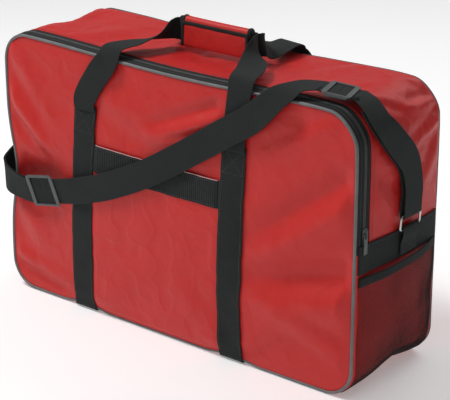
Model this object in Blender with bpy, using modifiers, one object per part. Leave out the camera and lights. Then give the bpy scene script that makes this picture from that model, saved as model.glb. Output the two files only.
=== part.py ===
"""Soft rectangular equipment bag with two haul webbings, a grip, end pockets and a shoulder strap.

Units are metres, +Z is up, the front faces -Y, and the origin is at the middle of the base.
Every skin, tape and webbing is a sheet: a grid whose points give its outer face, thickened inwards.
"""

import math

import bmesh
import bpy
import numpy as np
from mathutils import Matrix, Vector

# Driving dimensions
WIDTH = 0.788
DEPTH = 0.235
HEIGHT = 0.500
CORNER = 0.056
FRONT_BULGE = 0.018
BACK_BULGE = 0.010
END_CROWN = 0.006
TOP_SAG = 0.008
WEBBING_RISE = 0.005
RISE_REACH = 0.045

SKIN = 0.0020
GAP = 0.0004
PIPING_RADIUS = 0.0028
PIPING_INSET = 0.0030

TAPE_WIDTH = 0.0120
TAPE_THICK = 0.0012
COIL_WIDTH = 0.0026
COIL_THICK = 0.0022
COIL_SLIT = 0.0016
ZIP_END_HEIGHT = 0.262

WEBBING = 0.050
WEBBING_THICK = 0.0016
SEWN_TOP = 0.400
LEFT_WEB_FOOT = -0.203
LEFT_WEB_TOP = -0.187
RIGHT_WEB_FOOT = 0.141
RIGHT_WEB_TOP = 0.151

POCKET_TOP = 0.333
BAND_MIDDLE = 0.251
MESH_TOP = 0.232
MESH_FOOT = 0.010
POUCH = 0.010
HEM_HEIGHT = 0.016

# Where each free leg crosses the top edge: left and right, at the front and at the back
LEG_EDGES = {(-1, -1): -0.1335, (1, -1): 0.160, (-1, 1): -0.100, (1, 1): 0.088}

GRIP_X = 0.008
GRIP_Y = 0.006
GRIP_Z = 0.531
GRIP_LENGTH = 0.155
GRIP_HALF_HEIGHT = 0.0255
GRIP_HALF_THICK = 0.0095
GRIP_WALL = 0.0030
GRIP_WEB_HEIGHT = 0.042

SLIDER_HEIGHT = 0.296
SLIDER_LENGTH = 0.017
SLIDER_WIDTH = 0.0115
SLIDER_PLATE = 0.0015
BAIL_CLEAR = 0.0034
BAIL_WIRE = 0.0009
PULL_LENGTH = 0.037
PULL_WIDTH = 0.0095
PULL_THICK = 0.0020

RING_WIRE = 0.0022
RING_HALF = 0.0285
RING_RISE = 0.0230
RING_CORNER = 0.0045
RING_BAR_HEIGHT = 0.277
RING_STAND = 0.0047
TAB_WIDTH = 0.046
RING_Y = {"left": 0.0, "right": 0.015}
RING_LEAN = {"left": 168.0, "right": 4.0}

ADJUSTER_LENGTH = {"left": 0.066, "right": 0.050}
ADJUSTER_WIDTH = 0.062
ADJUSTER_THICK = 0.0066
RAIL = 0.0045
BAR_THICK = 0.0020
# Each adjuster's middle, the direction of the strap through it and the direction across the strap
ADJUSTERS = {
    "left": ((-0.2840, -0.1410, 0.2195), (0.966, 0.03, 0.19), (-0.24, -0.20, 0.95)),
    "right": ((0.3235, -0.0715, 0.5150), (0.930, 0.30, -0.12), (-0.30, 0.95, 0.0)),
}

HALF_WIDTH = WIDTH / 2
HALF_DEPTH = DEPTH / 2
FLAT_TOP = HALF_WIDTH - CORNER
QUARTER = CORNER * math.pi / 2
END_RUN = HEIGHT - 2 * CORNER
HALF_ROUND = 2 * FLAT_TOP + 2 * QUARTER + END_RUN

PARTS = "equipment_bag"
RED = (0.52, 0.035, 0.028)
RED_SHADE = (0.40, 0.022, 0.02)
BLACK = (0.018, 0.021, 0.021)
GREY = (0.14, 0.145, 0.145)
PLASTIC = (0.11, 0.115, 0.115)
METAL = (0.30, 0.30, 0.31)


# Scene helpers

def clear_scene():
    """Removes every object, so that the file holds only this model."""
    for obj in list(bpy.data.objects):
        bpy.data.objects.remove(obj, do_unlink=True)


def new_collection(name):
    found = bpy.data.collections.new(name)
    bpy.context.scene.collection.children.link(found)
    return found


def material(name, colour, roughness, metallic=0.0):
    made = bpy.data.materials.get(name)
    if made is None:
        made = bpy.data.materials.new(name)
        made.use_nodes = True
        shader = made.node_tree.nodes["Principled BSDF"]
        shader.inputs["Base Color"].default_value = (*colour, 1.0)
        shader.inputs["Roughness"].default_value = roughness
        shader.inputs["Metallic"].default_value = metallic
    return made


def put(name, mesh, finish):
    """Makes the named object from a mesh or curve, dresses it and puts it with the parts."""
    obj = bpy.data.objects.new(name, mesh)
    obj.data.materials.append(material(f"{name}_{finish[0]}", *finish[1:]))
    bpy.data.collections[PARTS].objects.link(obj)
    return obj


CLOTH = ("cloth", RED, 0.55)
MESH_CLOTH = ("mesh_cloth", RED_SHADE, 0.8)
WEB = ("webbing", BLACK, 0.8)
TAPE = ("tape", BLACK, 0.75)
EDGING = ("edging", GREY, 0.6)
MOULDED = ("moulded", PLASTIC, 0.45)
WIRE = ("wire", METAL, 0.35, 1.0)


def sheet(name, points, thickness, finish):
    """A thickened grid. points[i][j] is on the outer face, whose normal is the i step crossed with the j step."""
    points = np.asarray(points, float)
    rows, columns = points.shape[0] - 1, points.shape[1] - 1
    grid = bmesh.new()
    bmesh.ops.create_grid(grid, x_segments=rows, y_segments=columns, size=1.0)
    for vert in grid.verts:
        i = round((vert.co.x + 1) / 2 * rows)
        j = round((vert.co.y + 1) / 2 * columns)
        vert.co = points[i, j]
    mesh = bpy.data.meshes.new(name)
    grid.to_mesh(mesh)
    grid.free()
    mesh.shade_smooth()
    obj = put(name, mesh, finish)
    wall = obj.modifiers.new("thickness", "SOLIDIFY")
    wall.thickness = thickness
    wall.offset = -1.0
    wall.use_even_offset = True
    return obj


def tube(name, points, radius, finish, sides=2, origin=(0, 0, 0)):
    """A closed loop of round cord or wire through points measured from its origin."""
    curve = bpy.data.curves.new(name, "CURVE")
    curve.dimensions = "3D"
    curve.bevel_depth = radius
    curve.bevel_resolution = sides
    line = curve.splines.new("POLY")
    line.points.add(len(points) - 1)
    for spot, point in zip(line.points, points):
        spot.co = (*point, 1.0)
    line.use_cyclic_u = True
    obj = put(name, curve, finish)
    obj.location = origin
    return obj


def box_mesh(name, size, centre=(0, 0, 0)):
    shape = bmesh.new()
    bmesh.ops.create_cube(shape, size=1.0)
    bmesh.ops.scale(shape, vec=Vector(size), verts=shape.verts)
    bmesh.ops.translate(shape, vec=Vector(centre), verts=shape.verts)
    mesh = bpy.data.meshes.new(name)
    shape.to_mesh(mesh)
    shape.free()
    return mesh


def cutter(name, mesh, parent):
    """A helper solid that follows its parent and is left out of renders."""
    obj = bpy.data.objects.new(name, mesh)
    obj.hide_render = True
    obj.display_type = "WIRE"
    obj.parent = parent
    bpy.data.collections["cutters"].objects.link(obj)
    return obj


def join_to(target, tool, operation="UNION"):
    step = target.modifiers.new(tool.name, "BOOLEAN")
    step.operation = operation
    step.object = tool


# The bag's form

def outline(s, inset=0.0):
    """Point and outward normal of the side outline, in x and z, s metres clockwise from the top's middle."""
    s = (s + HALF_ROUND) % (2 * HALF_ROUND) - HALF_ROUND
    side, t = (1.0, s) if s >= 0 else (-1.0, -s)
    if t <= FLAT_TOP:
        x, z, nx, nz = t, HEIGHT, 0.0, 1.0
    elif t <= FLAT_TOP + QUARTER:
        turn = (t - FLAT_TOP) / CORNER
        nx, nz = math.sin(turn), math.cos(turn)
        x, z = FLAT_TOP + CORNER * nx, HEIGHT - CORNER + CORNER * nz
    elif t <= FLAT_TOP + QUARTER + END_RUN:
        x, z, nx, nz = HALF_WIDTH, HEIGHT - CORNER - (t - FLAT_TOP - QUARTER), 1.0, 0.0
    elif t <= FLAT_TOP + 2 * QUARTER + END_RUN:
        turn = (t - FLAT_TOP - QUARTER - END_RUN) / CORNER
        nx, nz = math.cos(turn), -math.sin(turn)
        x, z = FLAT_TOP + CORNER * nx, CORNER + CORNER * nz
    else:
        x, z, nx, nz = HALF_ROUND - t, 0.0, 0.0, -1.0
    return side * (x - inset * nx), z - inset * nz, side * nx, nz


def web_x(side, z):
    """The middle of a haul webbing at height z: side -1 is left, 1 is right."""
    foot, top = (LEFT_WEB_FOOT, LEFT_WEB_TOP) if side < 0 else (RIGHT_WEB_FOOT, RIGHT_WEB_TOP)
    return foot + (top - foot) * min(z, SEWN_TOP) / SEWN_TOP


def settle(x, y, z):
    """Lets the top sag in its middle, and lifts the base edge where the haul webbings pull it up."""
    reach = max(0.0, math.cos(math.pi * min(1.0, abs(x) / FLAT_TOP) / 2))
    height = min(1.0, max(0.0, z / HEIGHT))
    sag = TOP_SAG * reach**2 * height**3
    lift = sum(math.exp(-(((x - foot) / RISE_REACH) ** 4)) for foot in (LEFT_WEB_FOOT, RIGHT_WEB_FOOT))
    return x, y, z - sag + WEBBING_RISE * lift * (1 - height) ** 6


def bulge(x, z, most):
    """How far the front or back panel stands out of its seam's plane."""
    across = max(0.0, 1 - (x / HALF_WIDTH) ** 2)
    height = min(1.0, max(0.0, z / HEIGHT))
    return most * across * max(0.0, math.sin(math.pi * height**0.7))


def crown(y, s):
    """How far the gusset stands out behind the zip's line. It is most on the ends and none on the base."""
    t = abs((s + HALF_ROUND) % (2 * HALF_ROUND) - HALF_ROUND)
    start, end = FLAT_TOP + QUARTER / 2, FLAT_TOP + QUARTER * 1.5 + END_RUN
    rise = min(1.0, max(0.0, (t - start + QUARTER) / QUARTER))
    fall = min(1.0, max(0.0, (end - t) / QUARTER))
    front, back = zip_lines()[-1] + GAP, HALF_DEPTH
    from_middle = (2 * y - front - back) / (back - front)
    return END_CROWN * rise * fall * max(0.0, 1 - from_middle**2)


def gusset_point(s, y, lift=0.0):
    x, z, nx, nz = outline(s)
    out = crown(y, s) + lift
    return settle(x + nx * out, y, z + nz * out)


def end_station(z):
    """Distance along the outline to height z on the right end."""
    return FLAT_TOP + QUARTER + (HEIGHT - CORNER - z)


def spaced(start, end, step):
    count = max(1, round(abs(end - start) / step))
    return [start + (end - start) * i / count for i in range(count + 1)]


def stations_over_top(end):
    """Stations from -end to end over the top, closer together round the corners."""
    half = spaced(0, FLAT_TOP, 0.056) + spaced(FLAT_TOP, FLAT_TOP + QUARTER, 0.018)[1:]
    half += spaced(FLAT_TOP + QUARTER, end, 0.06)[1:]
    return [-s for s in reversed(half[1:])] + half


def stations_under_base(start):
    """Stations from start on the right end, round the base, to the same height on the left end."""
    low = FLAT_TOP + QUARTER + END_RUN
    right = spaced(start, low, 0.06) + spaced(low, low + QUARTER, 0.018)[1:]
    base = spaced(low + QUARTER, HALF_ROUND, 0.02)[1:]
    half = right + base
    return half + [2 * HALF_ROUND - s for s in reversed(half[:-1])]


def gusset_strip(name, stations, depths, outer, thickness, finish):
    points = [[gusset_point(s, y, outer) for y in depths] for s in stations]
    return sheet(name, points, thickness, finish)


# Shell

def rounded(u, v, inset):
    """Maps the square to the bag's side outline, so that the grid's edge follows the rounded corners."""
    far, high = HALF_WIDTH - inset, HEIGHT / 2 - inset
    radius = CORNER - inset
    x, z = u * far, v * high
    reach = max(abs(u), abs(v))
    if reach == 0:
        return x, z + HEIGHT / 2
    edge_x, edge_z = x / reach, z / reach
    core_x = min(far - radius, max(radius - far, edge_x))
    core_z = min(high - radius, max(radius - high, edge_z))
    away = math.hypot(edge_x - core_x, edge_z - core_z)
    pull = reach**4
    x += (core_x + (edge_x - core_x) / away * radius - edge_x) * pull
    z += (core_z + (edge_z - core_z) / away * radius - edge_z) * pull
    return x, z + HEIGHT / 2


def side_panel(name, facing, most):
    """The front panel (facing -1) or back panel (facing 1)."""
    inset = PIPING_INSET + PIPING_RADIUS + 2 * GAP
    half = [0, 0.12, 0.22, 0.31, 0.40, 0.48, 0.56, 0.66, 0.78, 0.87, 0.94, 1]
    us = [-u for u in reversed(half[1:])] + half
    vs = [-1, -0.9, -0.75, -0.55, -0.3, 0, 0.3, 0.55, 0.75, 0.9, 1]
    us = sorted(us, reverse=facing > 0)
    rows = []
    for u in us:
        row = []
        for v in vs:
            x, z = rounded(u, v, inset)
            row.append(settle(x, facing * (HALF_DEPTH + bulge(x, z, most)), z))
        rows.append(row)
    return sheet(name, rows, SKIN, CLOTH)


def piping(name, facing):
    low = FLAT_TOP + QUARTER + END_RUN
    stations = stations_over_top(low)
    base = stations_under_base(low - 0.001)[2:-2]
    points = []
    for s in stations + base:
        x, z, _, _ = outline(s, PIPING_INSET)
        points.append(settle(x, facing * HALF_DEPTH, z))
    return tube(name, points, PIPING_RADIUS, EDGING, sides=1)


def build_shell():
    side_panel("front_panel", -1, FRONT_BULGE)
    side_panel("back_panel", 1, BACK_BULGE)
    piping("front_piping", -1)
    piping("back_piping", 1)
    seam = HALF_DEPTH - PIPING_RADIUS - GAP
    rear_edge = zip_lines()[-1] + GAP
    top = [rear_edge, -0.04, 0.0, 0.04, 0.08, seam]
    gusset_strip("upper_gusset", stations_over_top(end_station(BAND_MIDDLE) - GAP), top, 0.0, SKIN, CLOTH)
    low = [-seam, -0.07, -0.03, 0.03, 0.07, seam]
    gusset_strip("lower_gusset", stations_under_base(end_station(BAND_MIDDLE) + GAP), low, 0.0, SKIN, CLOTH)


# Zip

def zip_lines():
    """The y of each lengthwise edge: front tape, front coil, slit, rear coil, rear tape."""
    front = -HALF_DEPTH + PIPING_RADIUS + GAP
    lines = [front, front + TAPE_WIDTH]
    lines += [lines[-1] + GAP, lines[-1] + GAP + COIL_WIDTH]
    lines += [lines[-1] + COIL_SLIT, lines[-1] + COIL_SLIT + COIL_WIDTH]
    lines += [lines[-1] + GAP, lines[-1] + GAP + TAPE_WIDTH]
    return lines


def build_zip():
    lines = zip_lines()
    stations = stations_over_top(end_station(ZIP_END_HEIGHT))
    coil_out = COIL_THICK / 2
    gusset_strip("zip_tape_front", stations, lines[0:2], 0.0, TAPE_THICK, TAPE)
    gusset_strip("zip_coil_front", stations, lines[2:4], coil_out, COIL_THICK, TAPE)
    gusset_strip("zip_coil_rear", stations, lines[4:6], coil_out, COIL_THICK, TAPE)
    gusset_strip("zip_tape_rear", stations, lines[6:8], 0.0, TAPE_THICK, TAPE)
    end = end_station(ZIP_END_HEIGHT) + GAP
    for side, name in ((1, "zip_stop_right"), (-1, "zip_stop_left")):
        run = sorted((side * end, side * (end + 0.0045)))
        gusset_strip(name, run, [lines[2], lines[5]], 0.0014, 0.0028, MOULDED)


def zip_middle():
    lines = zip_lines()
    return (lines[3] + lines[4]) / 2


def build_slider():
    """An H section: an outer and an inner plate joined by a web in the coils' slit, with a bail over the outer one."""
    y = zip_middle()
    face = gusset_point(end_station(SLIDER_HEIGHT), y)[0]
    over = COIL_THICK / 2 + GAP
    body = put("zip_slider", box_mesh("zip_slider", (SLIDER_PLATE, SLIDER_WIDTH, SLIDER_LENGTH),
                                      (over + SLIDER_PLATE / 2, 0, 0)), MOULDED)
    body.location = (face, y, SLIDER_HEIGHT)
    web = box_mesh("slider_web", (2 * over + SLIDER_PLATE, COIL_SLIT - 2 * GAP, 0.010))
    join_to(body, cutter("slider_web", web, body))
    inner = box_mesh("slider_inner", (SLIDER_PLATE, SLIDER_WIDTH, 0.013), (-over - SLIDER_PLATE / 2, 0, 0))
    join_to(body, cutter("slider_inner", inner, body))
    outer = over + SLIDER_PLATE
    height = BAIL_CLEAR + 2 * BAIL_WIRE
    for place, z in (("upper", 0.0062), ("lower", -0.0062)):
        post = box_mesh(f"bail_{place}", (height, 2 * BAIL_WIRE, 2 * BAIL_WIRE), (outer + height / 2 - 0.0003, 0, z))
        join_to(body, cutter(f"bail_{place}", post, body))
    bridge = box_mesh("bail_bridge", (2 * BAIL_WIRE, 2 * BAIL_WIRE, 0.0124 + 2 * BAIL_WIRE),
                      (outer + BAIL_CLEAR + BAIL_WIRE, 0, 0))
    join_to(body, cutter("bail_bridge", bridge, body))
    return face + outer + BAIL_CLEAR / 2


def build_pull(axis_x):
    """A long tab whose top bar sits under the bail, so that the bail passes through its window."""
    y = zip_middle()
    bar = PULL_THICK / 2
    long_z = -(PULL_LENGTH / 2 - bar)
    body = put("zip_pull", box_mesh("zip_pull", (PULL_THICK, PULL_WIDTH, PULL_LENGTH), (0, 0, long_z)), MOULDED)
    body.location = (axis_x, y, SLIDER_HEIGHT)
    window = box_mesh("pull_window", (PULL_THICK * 3, 0.0050, 0.0074), (0, 0, -bar - 0.0037))
    join_to(body, cutter("pull_window", window, body), "DIFFERENCE")
    edge = body.modifiers.new("edge", "BEVEL")
    edge.width = 0.0006
    edge.segments = 1
    edge.limit_method = "ANGLE"


# Carrying webbing

def haul_path(side):
    """(y, z, follows) down the front, round the base and up the back, before the bag settles."""
    outer = GAP + WEBBING_THICK
    bend = PIPING_RADIUS + GAP + WEBBING_THICK
    climb = [SEWN_TOP - GAP, 0.35, 0.30, 0.25, 0.20, 0.15, 0.10, 0.06, 0.03, 0.014]
    front = [(None, z) for z in climb]
    turn = [math.pi * (1 + a / 8) for a in (0.5, 1.5, 2.5, 3.5)]
    front += [(-HALF_DEPTH + bend * math.cos(a), PIPING_INSET + bend * math.sin(a)) for a in turn]
    under = [(y, -outer) for y in (-0.108, -0.06)]
    rows = []
    for facing in (-1, 1):
        part = []
        for y, z in front + under:
            part.append((y if y is None else -facing * y, z, facing))
        rows.append(part if facing < 0 else part[::-1])
    return rows[0] + rows[1]


def haul_webbing(name, side):
    outer = GAP + WEBBING_THICK
    rows = []
    for y, z, facing in haul_path(side):
        row = []
        for across in (-0.5, 0, 0.5):
            x = web_x(side, max(z, 0.0)) - across * WEBBING
            most = FRONT_BULGE if facing < 0 else BACK_BULGE
            depth = facing * (HALF_DEPTH + bulge(x, z, most) + outer) if y is None else y
            row.append(settle(x, depth, z))
        rows.append(row)
    return sheet(name, rows, WEBBING_THICK, WEB)


def smooth_line(points, step):
    """Catmull-Rom curve through rows of numbers, about step metres between its points."""
    points = np.asarray(points, float)
    padded = np.vstack([2 * points[0] - points[1], points, 2 * points[-1] - points[-2]])
    made = []
    for a, b, c, d in zip(padded, padded[1:], padded[2:], padded[3:]):
        count = max(1, round(float(np.linalg.norm((c - b)[:3])) / step))
        for i in range(count):
            t = i / count
            made.append(0.5 * (2 * b + (c - a) * t + (2 * a - 5 * b + 4 * c - d) * t**2
                               + (3 * b - a - 3 * c + d) * t**3))
    made.append(points[-1])
    return np.array(made)


def ribbon(name, controls, step):
    """Flat webbing through controls: each is x, y, z, the direction across it, and its width there."""
    line = smooth_line(controls, step)
    middle, across, width = line[:, :3], line[:, 3:6], line[:, 6:]
    along = np.gradient(middle, axis=0)
    along /= np.linalg.norm(along, axis=1)[:, None]
    across -= (across * along).sum(1)[:, None] * along
    across /= np.linalg.norm(across, axis=1)[:, None]
    normal = np.cross(along, across)
    outer = middle + normal * WEBBING_THICK / 2
    rows = [[p + a * w * v for v in (-0.5, 0, 0.5)] for p, a, w in zip(outer, across, width)]
    return sheet(name, rows, WEBBING_THICK, WEB)


def leg_controls(side, facing):
    """A free leg from the top of its sewn run, over the top edge, to the grip's end, where it stands on edge."""
    most = FRONT_BULGE if facing < 0 else BACK_BULGE
    foot_x = web_x(side, SEWN_TOP)
    foot_y = HALF_DEPTH + bulge(foot_x, SEWN_TOP, most) + 0.0018
    grip_end = GRIP_X + side * (GRIP_LENGTH / 2 + 0.009)
    edge_x = LEG_EDGES[side, facing]
    near_x = grip_end + side * 0.006
    layer = GRIP_Y + facing * 0.0022
    free = WEBBING - 0.002
    return [
        (foot_x, facing * foot_y, SEWN_TOP + 2 * GAP, -1, 0, 0, free),
        (foot_x * 0.99 + edge_x * 0.01, facing * (foot_y + 0.0005), 0.414, -1, 0, 0, free),
        (foot_x * 0.5 + edge_x * 0.5, facing * (foot_y + 0.0012), 0.455, -1, 0, 0, free),
        (edge_x, facing * (HALF_DEPTH + 0.0080), 0.490, -1, 0, 0, free),
        (edge_x * 0.93 + near_x * 0.07, facing * 0.112, 0.5120, -1, facing * 0.12 * side, 0, free),
        (edge_x * 0.65 + near_x * 0.35, facing * 0.070, 0.5155, -1, facing * 0.4 * side, 0.10 * side, free),
        (edge_x * 0.30 + near_x * 0.70, facing * 0.032, 0.5205, -0.8, facing * 0.6 * side, 0.5 * side, 0.045),
        (near_x, layer + facing * 0.008, GRIP_Z - 0.0005, -0.3, 0, 1.0 * side, 0.041),
        (grip_end, layer, GRIP_Z, 0, 0, 1.0 * side, 0.040),
    ]


def free_leg(name, side, facing):
    controls = np.array(leg_controls(side, facing))
    controls[:, 3:6] *= -facing
    return ribbon(name, controls, 0.022)


def build_webbing():
    haul_webbing("left_haul_webbing", -1)
    haul_webbing("right_haul_webbing", 1)
    for facing, end in ((-1, "front"), (1, "back")):
        for side, hand in ((-1, "left"), (1, "right")):
            free_leg(f"{end}_{hand}_leg", side, facing)
    for facing, name in ((-1, "grip_run_front"), (1, "grip_run_back")):
        y = GRIP_Y + facing * 0.0022
        reach = GRIP_LENGTH / 2 + 0.007
        size = (2 * reach, WEBBING_THICK, GRIP_WEB_HEIGHT)
        run = put(name, box_mesh(name, size), WEB)
        run.location = (GRIP_X, y, GRIP_Z)


def grip_section():
    """The wrap's outer line in y and z: from the front's lower lip, under, up the back, over and down inside."""
    h, t = GRIP_HALF_HEIGHT, GRIP_HALF_THICK
    turn = 0.0075
    line = [(-t + 0.002, -h)]
    for cy, cz, start in ((t - turn, -h + turn, -90), (t - turn, h - turn, 0)):
        for step in range(4):
            a = math.radians(start + 30 * step)
            line.append((cy + turn * math.cos(a), cz + turn * math.sin(a)))
    for step in range(4):
        a = math.radians(90 + 30 * step)
        line.append((-t + 0.0055 + 0.0055 * math.cos(a), h - 0.0055 + 0.0055 * math.sin(a)))
    line.append((-t, 0.0))
    line.append((-t, -h + 0.010))
    return line


def build_grip():
    """The padded wrap rides with the webbing runs, and its flap closes the front."""
    rows = []
    for y, z in grip_section():
        rows.append([(x, GRIP_Y + y, GRIP_Z + z) for x in spaced(GRIP_X - GRIP_LENGTH / 2, GRIP_X + GRIP_LENGTH / 2, 0.08)])
    sheet("grip_wrap", rows, GRIP_WALL, CLOTH)
    hinge_y = GRIP_Y - GRIP_HALF_THICK - 0.0022
    foot = GRIP_Z - GRIP_HALF_HEIGHT
    flap = put("grip_flap", box_mesh("grip_flap", (GRIP_LENGTH - 0.010, 0.0026, 0.041), (0, 0, 0.0205)), CLOTH)
    flap.location = (GRIP_X, hinge_y, foot)
    corner = flap.modifiers.new("edge", "BEVEL")
    corner.width = 0.0008
    corner.segments = 2
    corner.limit_method = "ANGLE"


# Front pocket

def pocket_rows(low, high, lift, step):
    inner = WEBBING / 2 + GAP
    rows = []
    for u in [i / 8 for i in range(9)]:
        row = []
        for z in spaced(low, high, step):
            left, right = web_x(-1, z) + inner, web_x(1, z) - inner
            x = left + (right - left) * u
            row.append(settle(x, -HALF_DEPTH - bulge(x, z, FRONT_BULGE) - lift, z))
        rows.append(row)
    return rows


def build_front_pocket():
    under = 3 * GAP + 0.0012
    sheet("front_pocket_panel", pocket_rows(0.016, POCKET_TOP - 0.001, under, 0.045), 0.0012, CLOTH)
    outer = under + GAP + WEBBING_THICK
    sheet("front_pocket_band", pocket_rows(POCKET_TOP - WEBBING, POCKET_TOP, outer, 0.03), WEBBING_THICK, WEB)


# Ends

def mirror_x(points, side):
    """The right end's points, or the same for the left end, in the order that keeps the face outwards."""
    if side > 0:
        return points
    return [[(-x, y, z) for x, y, z in row] for row in points][::-1]


def end_sheet(name, side, heights, depths, lift, thickness, finish):
    rows = [[gusset_point(end_station(z), y, lift(y, z)) for y in depths] for z in heights]
    return sheet(name, mirror_x(rows, side), thickness, finish)


def pouch(y, z):
    """How far the mesh pocket stands off the end: nothing along its side seams and foot, most at its mouth."""
    across = max(0.0, 1 - (y / 0.1085) ** 4)
    up = min(1.0, max(0.0, (z - MESH_FOOT) / 0.09))
    return POUCH * across * (3 * up**2 - 2 * up**3)


def mesh_lift(y, z):
    return 3 * GAP + 0.0012 + pouch(y, z)


def pocket_mouth(y):
    """The height of the mesh pocket's mouth, which sags to the front."""
    return MESH_TOP - 0.012 + 0.010 * (y + 0.1085) / 0.217


def build_end(side, hand):
    edge = HALF_DEPTH - PIPING_RADIUS - GAP - 0.006
    depths = [-edge, -0.09, -0.06, -0.03, 0.0, 0.03, 0.06, 0.09, edge]
    band_top, band_foot = BAND_MIDDLE + WEBBING / 2, BAND_MIDDLE - WEBBING / 2
    out = COIL_THICK / 2 + GAP + WEBBING_THICK
    end_sheet(f"{hand}_end_band", side, spaced(band_top, band_foot, 0.03), depths,
              lambda y, z: out, WEBBING_THICK, WEB)
    rows = []
    for t in (0, 0.25, 0.5, 0.75, 1):
        row = []
        for y in depths:
            top = pocket_mouth(y) - HEM_HEIGHT - GAP
            z = top + (CORNER - top) * t
            row.append(gusset_point(end_station(z), y, mesh_lift(y, z)))
        rows.append(row)
    low = end_station(CORNER)
    for s in spaced(low, low + QUARTER, 0.018)[1:4]:
        height = CORNER - (s - low) * 0.7
        rows.append([gusset_point(s, y, mesh_lift(y, height)) for y in depths])
    sheet(f"{hand}_mesh_pocket", mirror_x(rows, side), 0.0012, MESH_CLOTH)
    hem = []
    for t in (1, 0.5, 0):
        row = []
        for y in depths:
            z = pocket_mouth(y) - HEM_HEIGHT * (1 - t)
            clear = out + GAP + 0.0018
            lift = max(mesh_lift(y, z) + 0.0004, clear)
            row.append(gusset_point(end_station(z), y, lift))
        hem.append(row)
    sheet(f"{hand}_pocket_hem", mirror_x(hem, side), 0.0018, TAPE)


# Rings

def tab_face():
    """The x of the end band's outer face at the middle of the right end."""
    return gusset_point(end_station(BAND_MIDDLE), 0.0, COIL_THICK / 2 + GAP + WEBBING_THICK)[0]


def ring_axis_x():
    return tab_face() + RING_STAND


def ring_outline():
    """The ring's line in its own plane, a rounded rectangle standing on its bar: y across, z up from the bar."""
    points = []
    for turn, (y, z) in enumerate(((1, 0), (1, 1), (-1, 1), (-1, 0))):
        middle_y = y * (RING_HALF - RING_CORNER)
        middle_z = RING_RISE * z + RING_CORNER * (1 - 2 * z)
        for step in range(4):
            a = math.radians(90 * (turn - 1) + 30 * step)
            points.append((middle_y + RING_CORNER * math.cos(a), middle_z + RING_CORNER * math.sin(a)))
    return points


def ring_tilt(side, hand):
    """Turns the ring outwards about its bar from standing up. At 180 degrees it would hang straight down."""
    return Matrix.Rotation(math.radians(side * RING_LEAN[hand]), 3, "Y")


def ring_pivot(side, hand):
    return Vector((side * ring_axis_x(), RING_Y[hand], RING_BAR_HEIGHT))


def build_ring(side, hand):
    tilt = ring_tilt(side, hand)
    points = [tilt @ Vector((0, y, z)) for y, z in ring_outline()]
    return tube(f"{hand}_ring", points, RING_WIRE, WIRE, origin=ring_pivot(side, hand))


def build_tab(side, hand):
    """Webbing folded over the ring's bar, both its ends sewn to the band."""
    face, bar = tab_face() + GAP, ring_axis_x()
    fold = RING_WIRE + GAP + WEBBING_THICK
    doubled = face + 2 * WEBBING_THICK + GAP
    line = [(doubled, RING_BAR_HEIGHT - 0.045), (doubled, RING_BAR_HEIGHT - 0.025), (bar + fold, RING_BAR_HEIGHT - 0.009)]
    for step in range(7):
        a = math.pi * step / 6
        line.append((bar + fold * math.cos(a), RING_BAR_HEIGHT + fold * math.sin(a)))
    line.append((bar - fold, RING_BAR_HEIGHT - 0.011))
    rows = [[(x, RING_Y[hand] + v * TAB_WIDTH, z) for v in (-0.5, 0.5)] for x, z in line[::-1]]
    return sheet(f"{hand}_ring_tab", mirror_x(rows, side), WEBBING_THICK, WEB)


# Shoulder strap

def adjuster_frame(hand):
    """Centre, direction along the strap, direction across it and outward normal, all unit and square."""
    centre, along, across = (np.array(v, float) for v in ADJUSTERS[hand])
    along /= np.linalg.norm(along)
    across -= (across @ along) * along
    across /= np.linalg.norm(across)
    return centre, along, across, np.cross(along, across)


def build_adjuster(hand):
    """Two rails and three bars: the webbing runs under the end bars and over the middle one."""
    centre, along, across, out = adjuster_frame(hand)
    name = f"{hand}_adjuster"
    length = ADJUSTER_LENGTH[hand]
    rail_y = ADJUSTER_WIDTH / 2 - RAIL / 2
    body = put(name, box_mesh(name, (length, RAIL, ADJUSTER_THICK), (0, rail_y, 0)), MOULDED)
    turn = Matrix((along, across, out)).transposed().to_4x4()
    body.matrix_world = Matrix.Translation(Vector(centre)) @ turn
    other = box_mesh("rail", (length, RAIL, ADJUSTER_THICK), (0, -rail_y, 0))
    level = ADJUSTER_THICK / 2 - BAR_THICK / 2
    end_x = length / 2 - 0.0045
    span = ADJUSTER_WIDTH - RAIL
    for place, x, z, wide in (("near", -end_x, level, 0.009), ("far", end_x, level, 0.009), ("middle", 0, -level, 0.010)):
        bar = box_mesh(f"bar_{place}", (wide - 0.0001, span, BAR_THICK - 0.0001), (x, 0, z))
        join_to(body, cutter(f"{name}_{place}_bar", bar, body))
    join_to(body, cutter(f"{name}_rail", other, body))
    edge = body.modifiers.new("edge", "BEVEL")
    edge.width = 0.0007
    edge.segments = 1
    edge.limit_method = "ANGLE"


def fold_round(centre, outwards, tip, across, width):
    """Controls of webbing that folds round a ring's wire: outwards is away from the bag, tip towards the ring's bar."""
    reach = RING_WIRE + 2 * GAP + WEBBING_THICK / 2
    made = []
    for step in range(5):
        a = math.pi * step / 4
        spot = centre + reach * (math.cos(a) * outwards + math.sin(a) * tip)
        made.append((*spot, *across, width))
    return made


def left_fold():
    """Gathered round the front leg of the left ring, from its outer side to its inner one."""
    tilt = ring_tilt(-1, "left")
    leg = ring_pivot(-1, "left") + tilt @ Vector((0, -RING_HALF, RING_RISE / 2))
    return fold_round(leg, tilt @ Vector((1, 0, 0)), Vector((0, 1, 0)), tilt @ Vector((0, 0, -1)), 0.012)


def right_fold():
    """Under the top wire of the right ring, from its outer side to its inner one."""
    tilt = ring_tilt(1, "right")
    wire = ring_pivot(1, "right") + tilt @ Vector((0, 0, RING_RISE))
    return fold_round(wire, tilt @ Vector((1, 0, 0)), tilt @ Vector((0, 0, -1)), (0, 1, 0), WEBBING)


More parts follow.
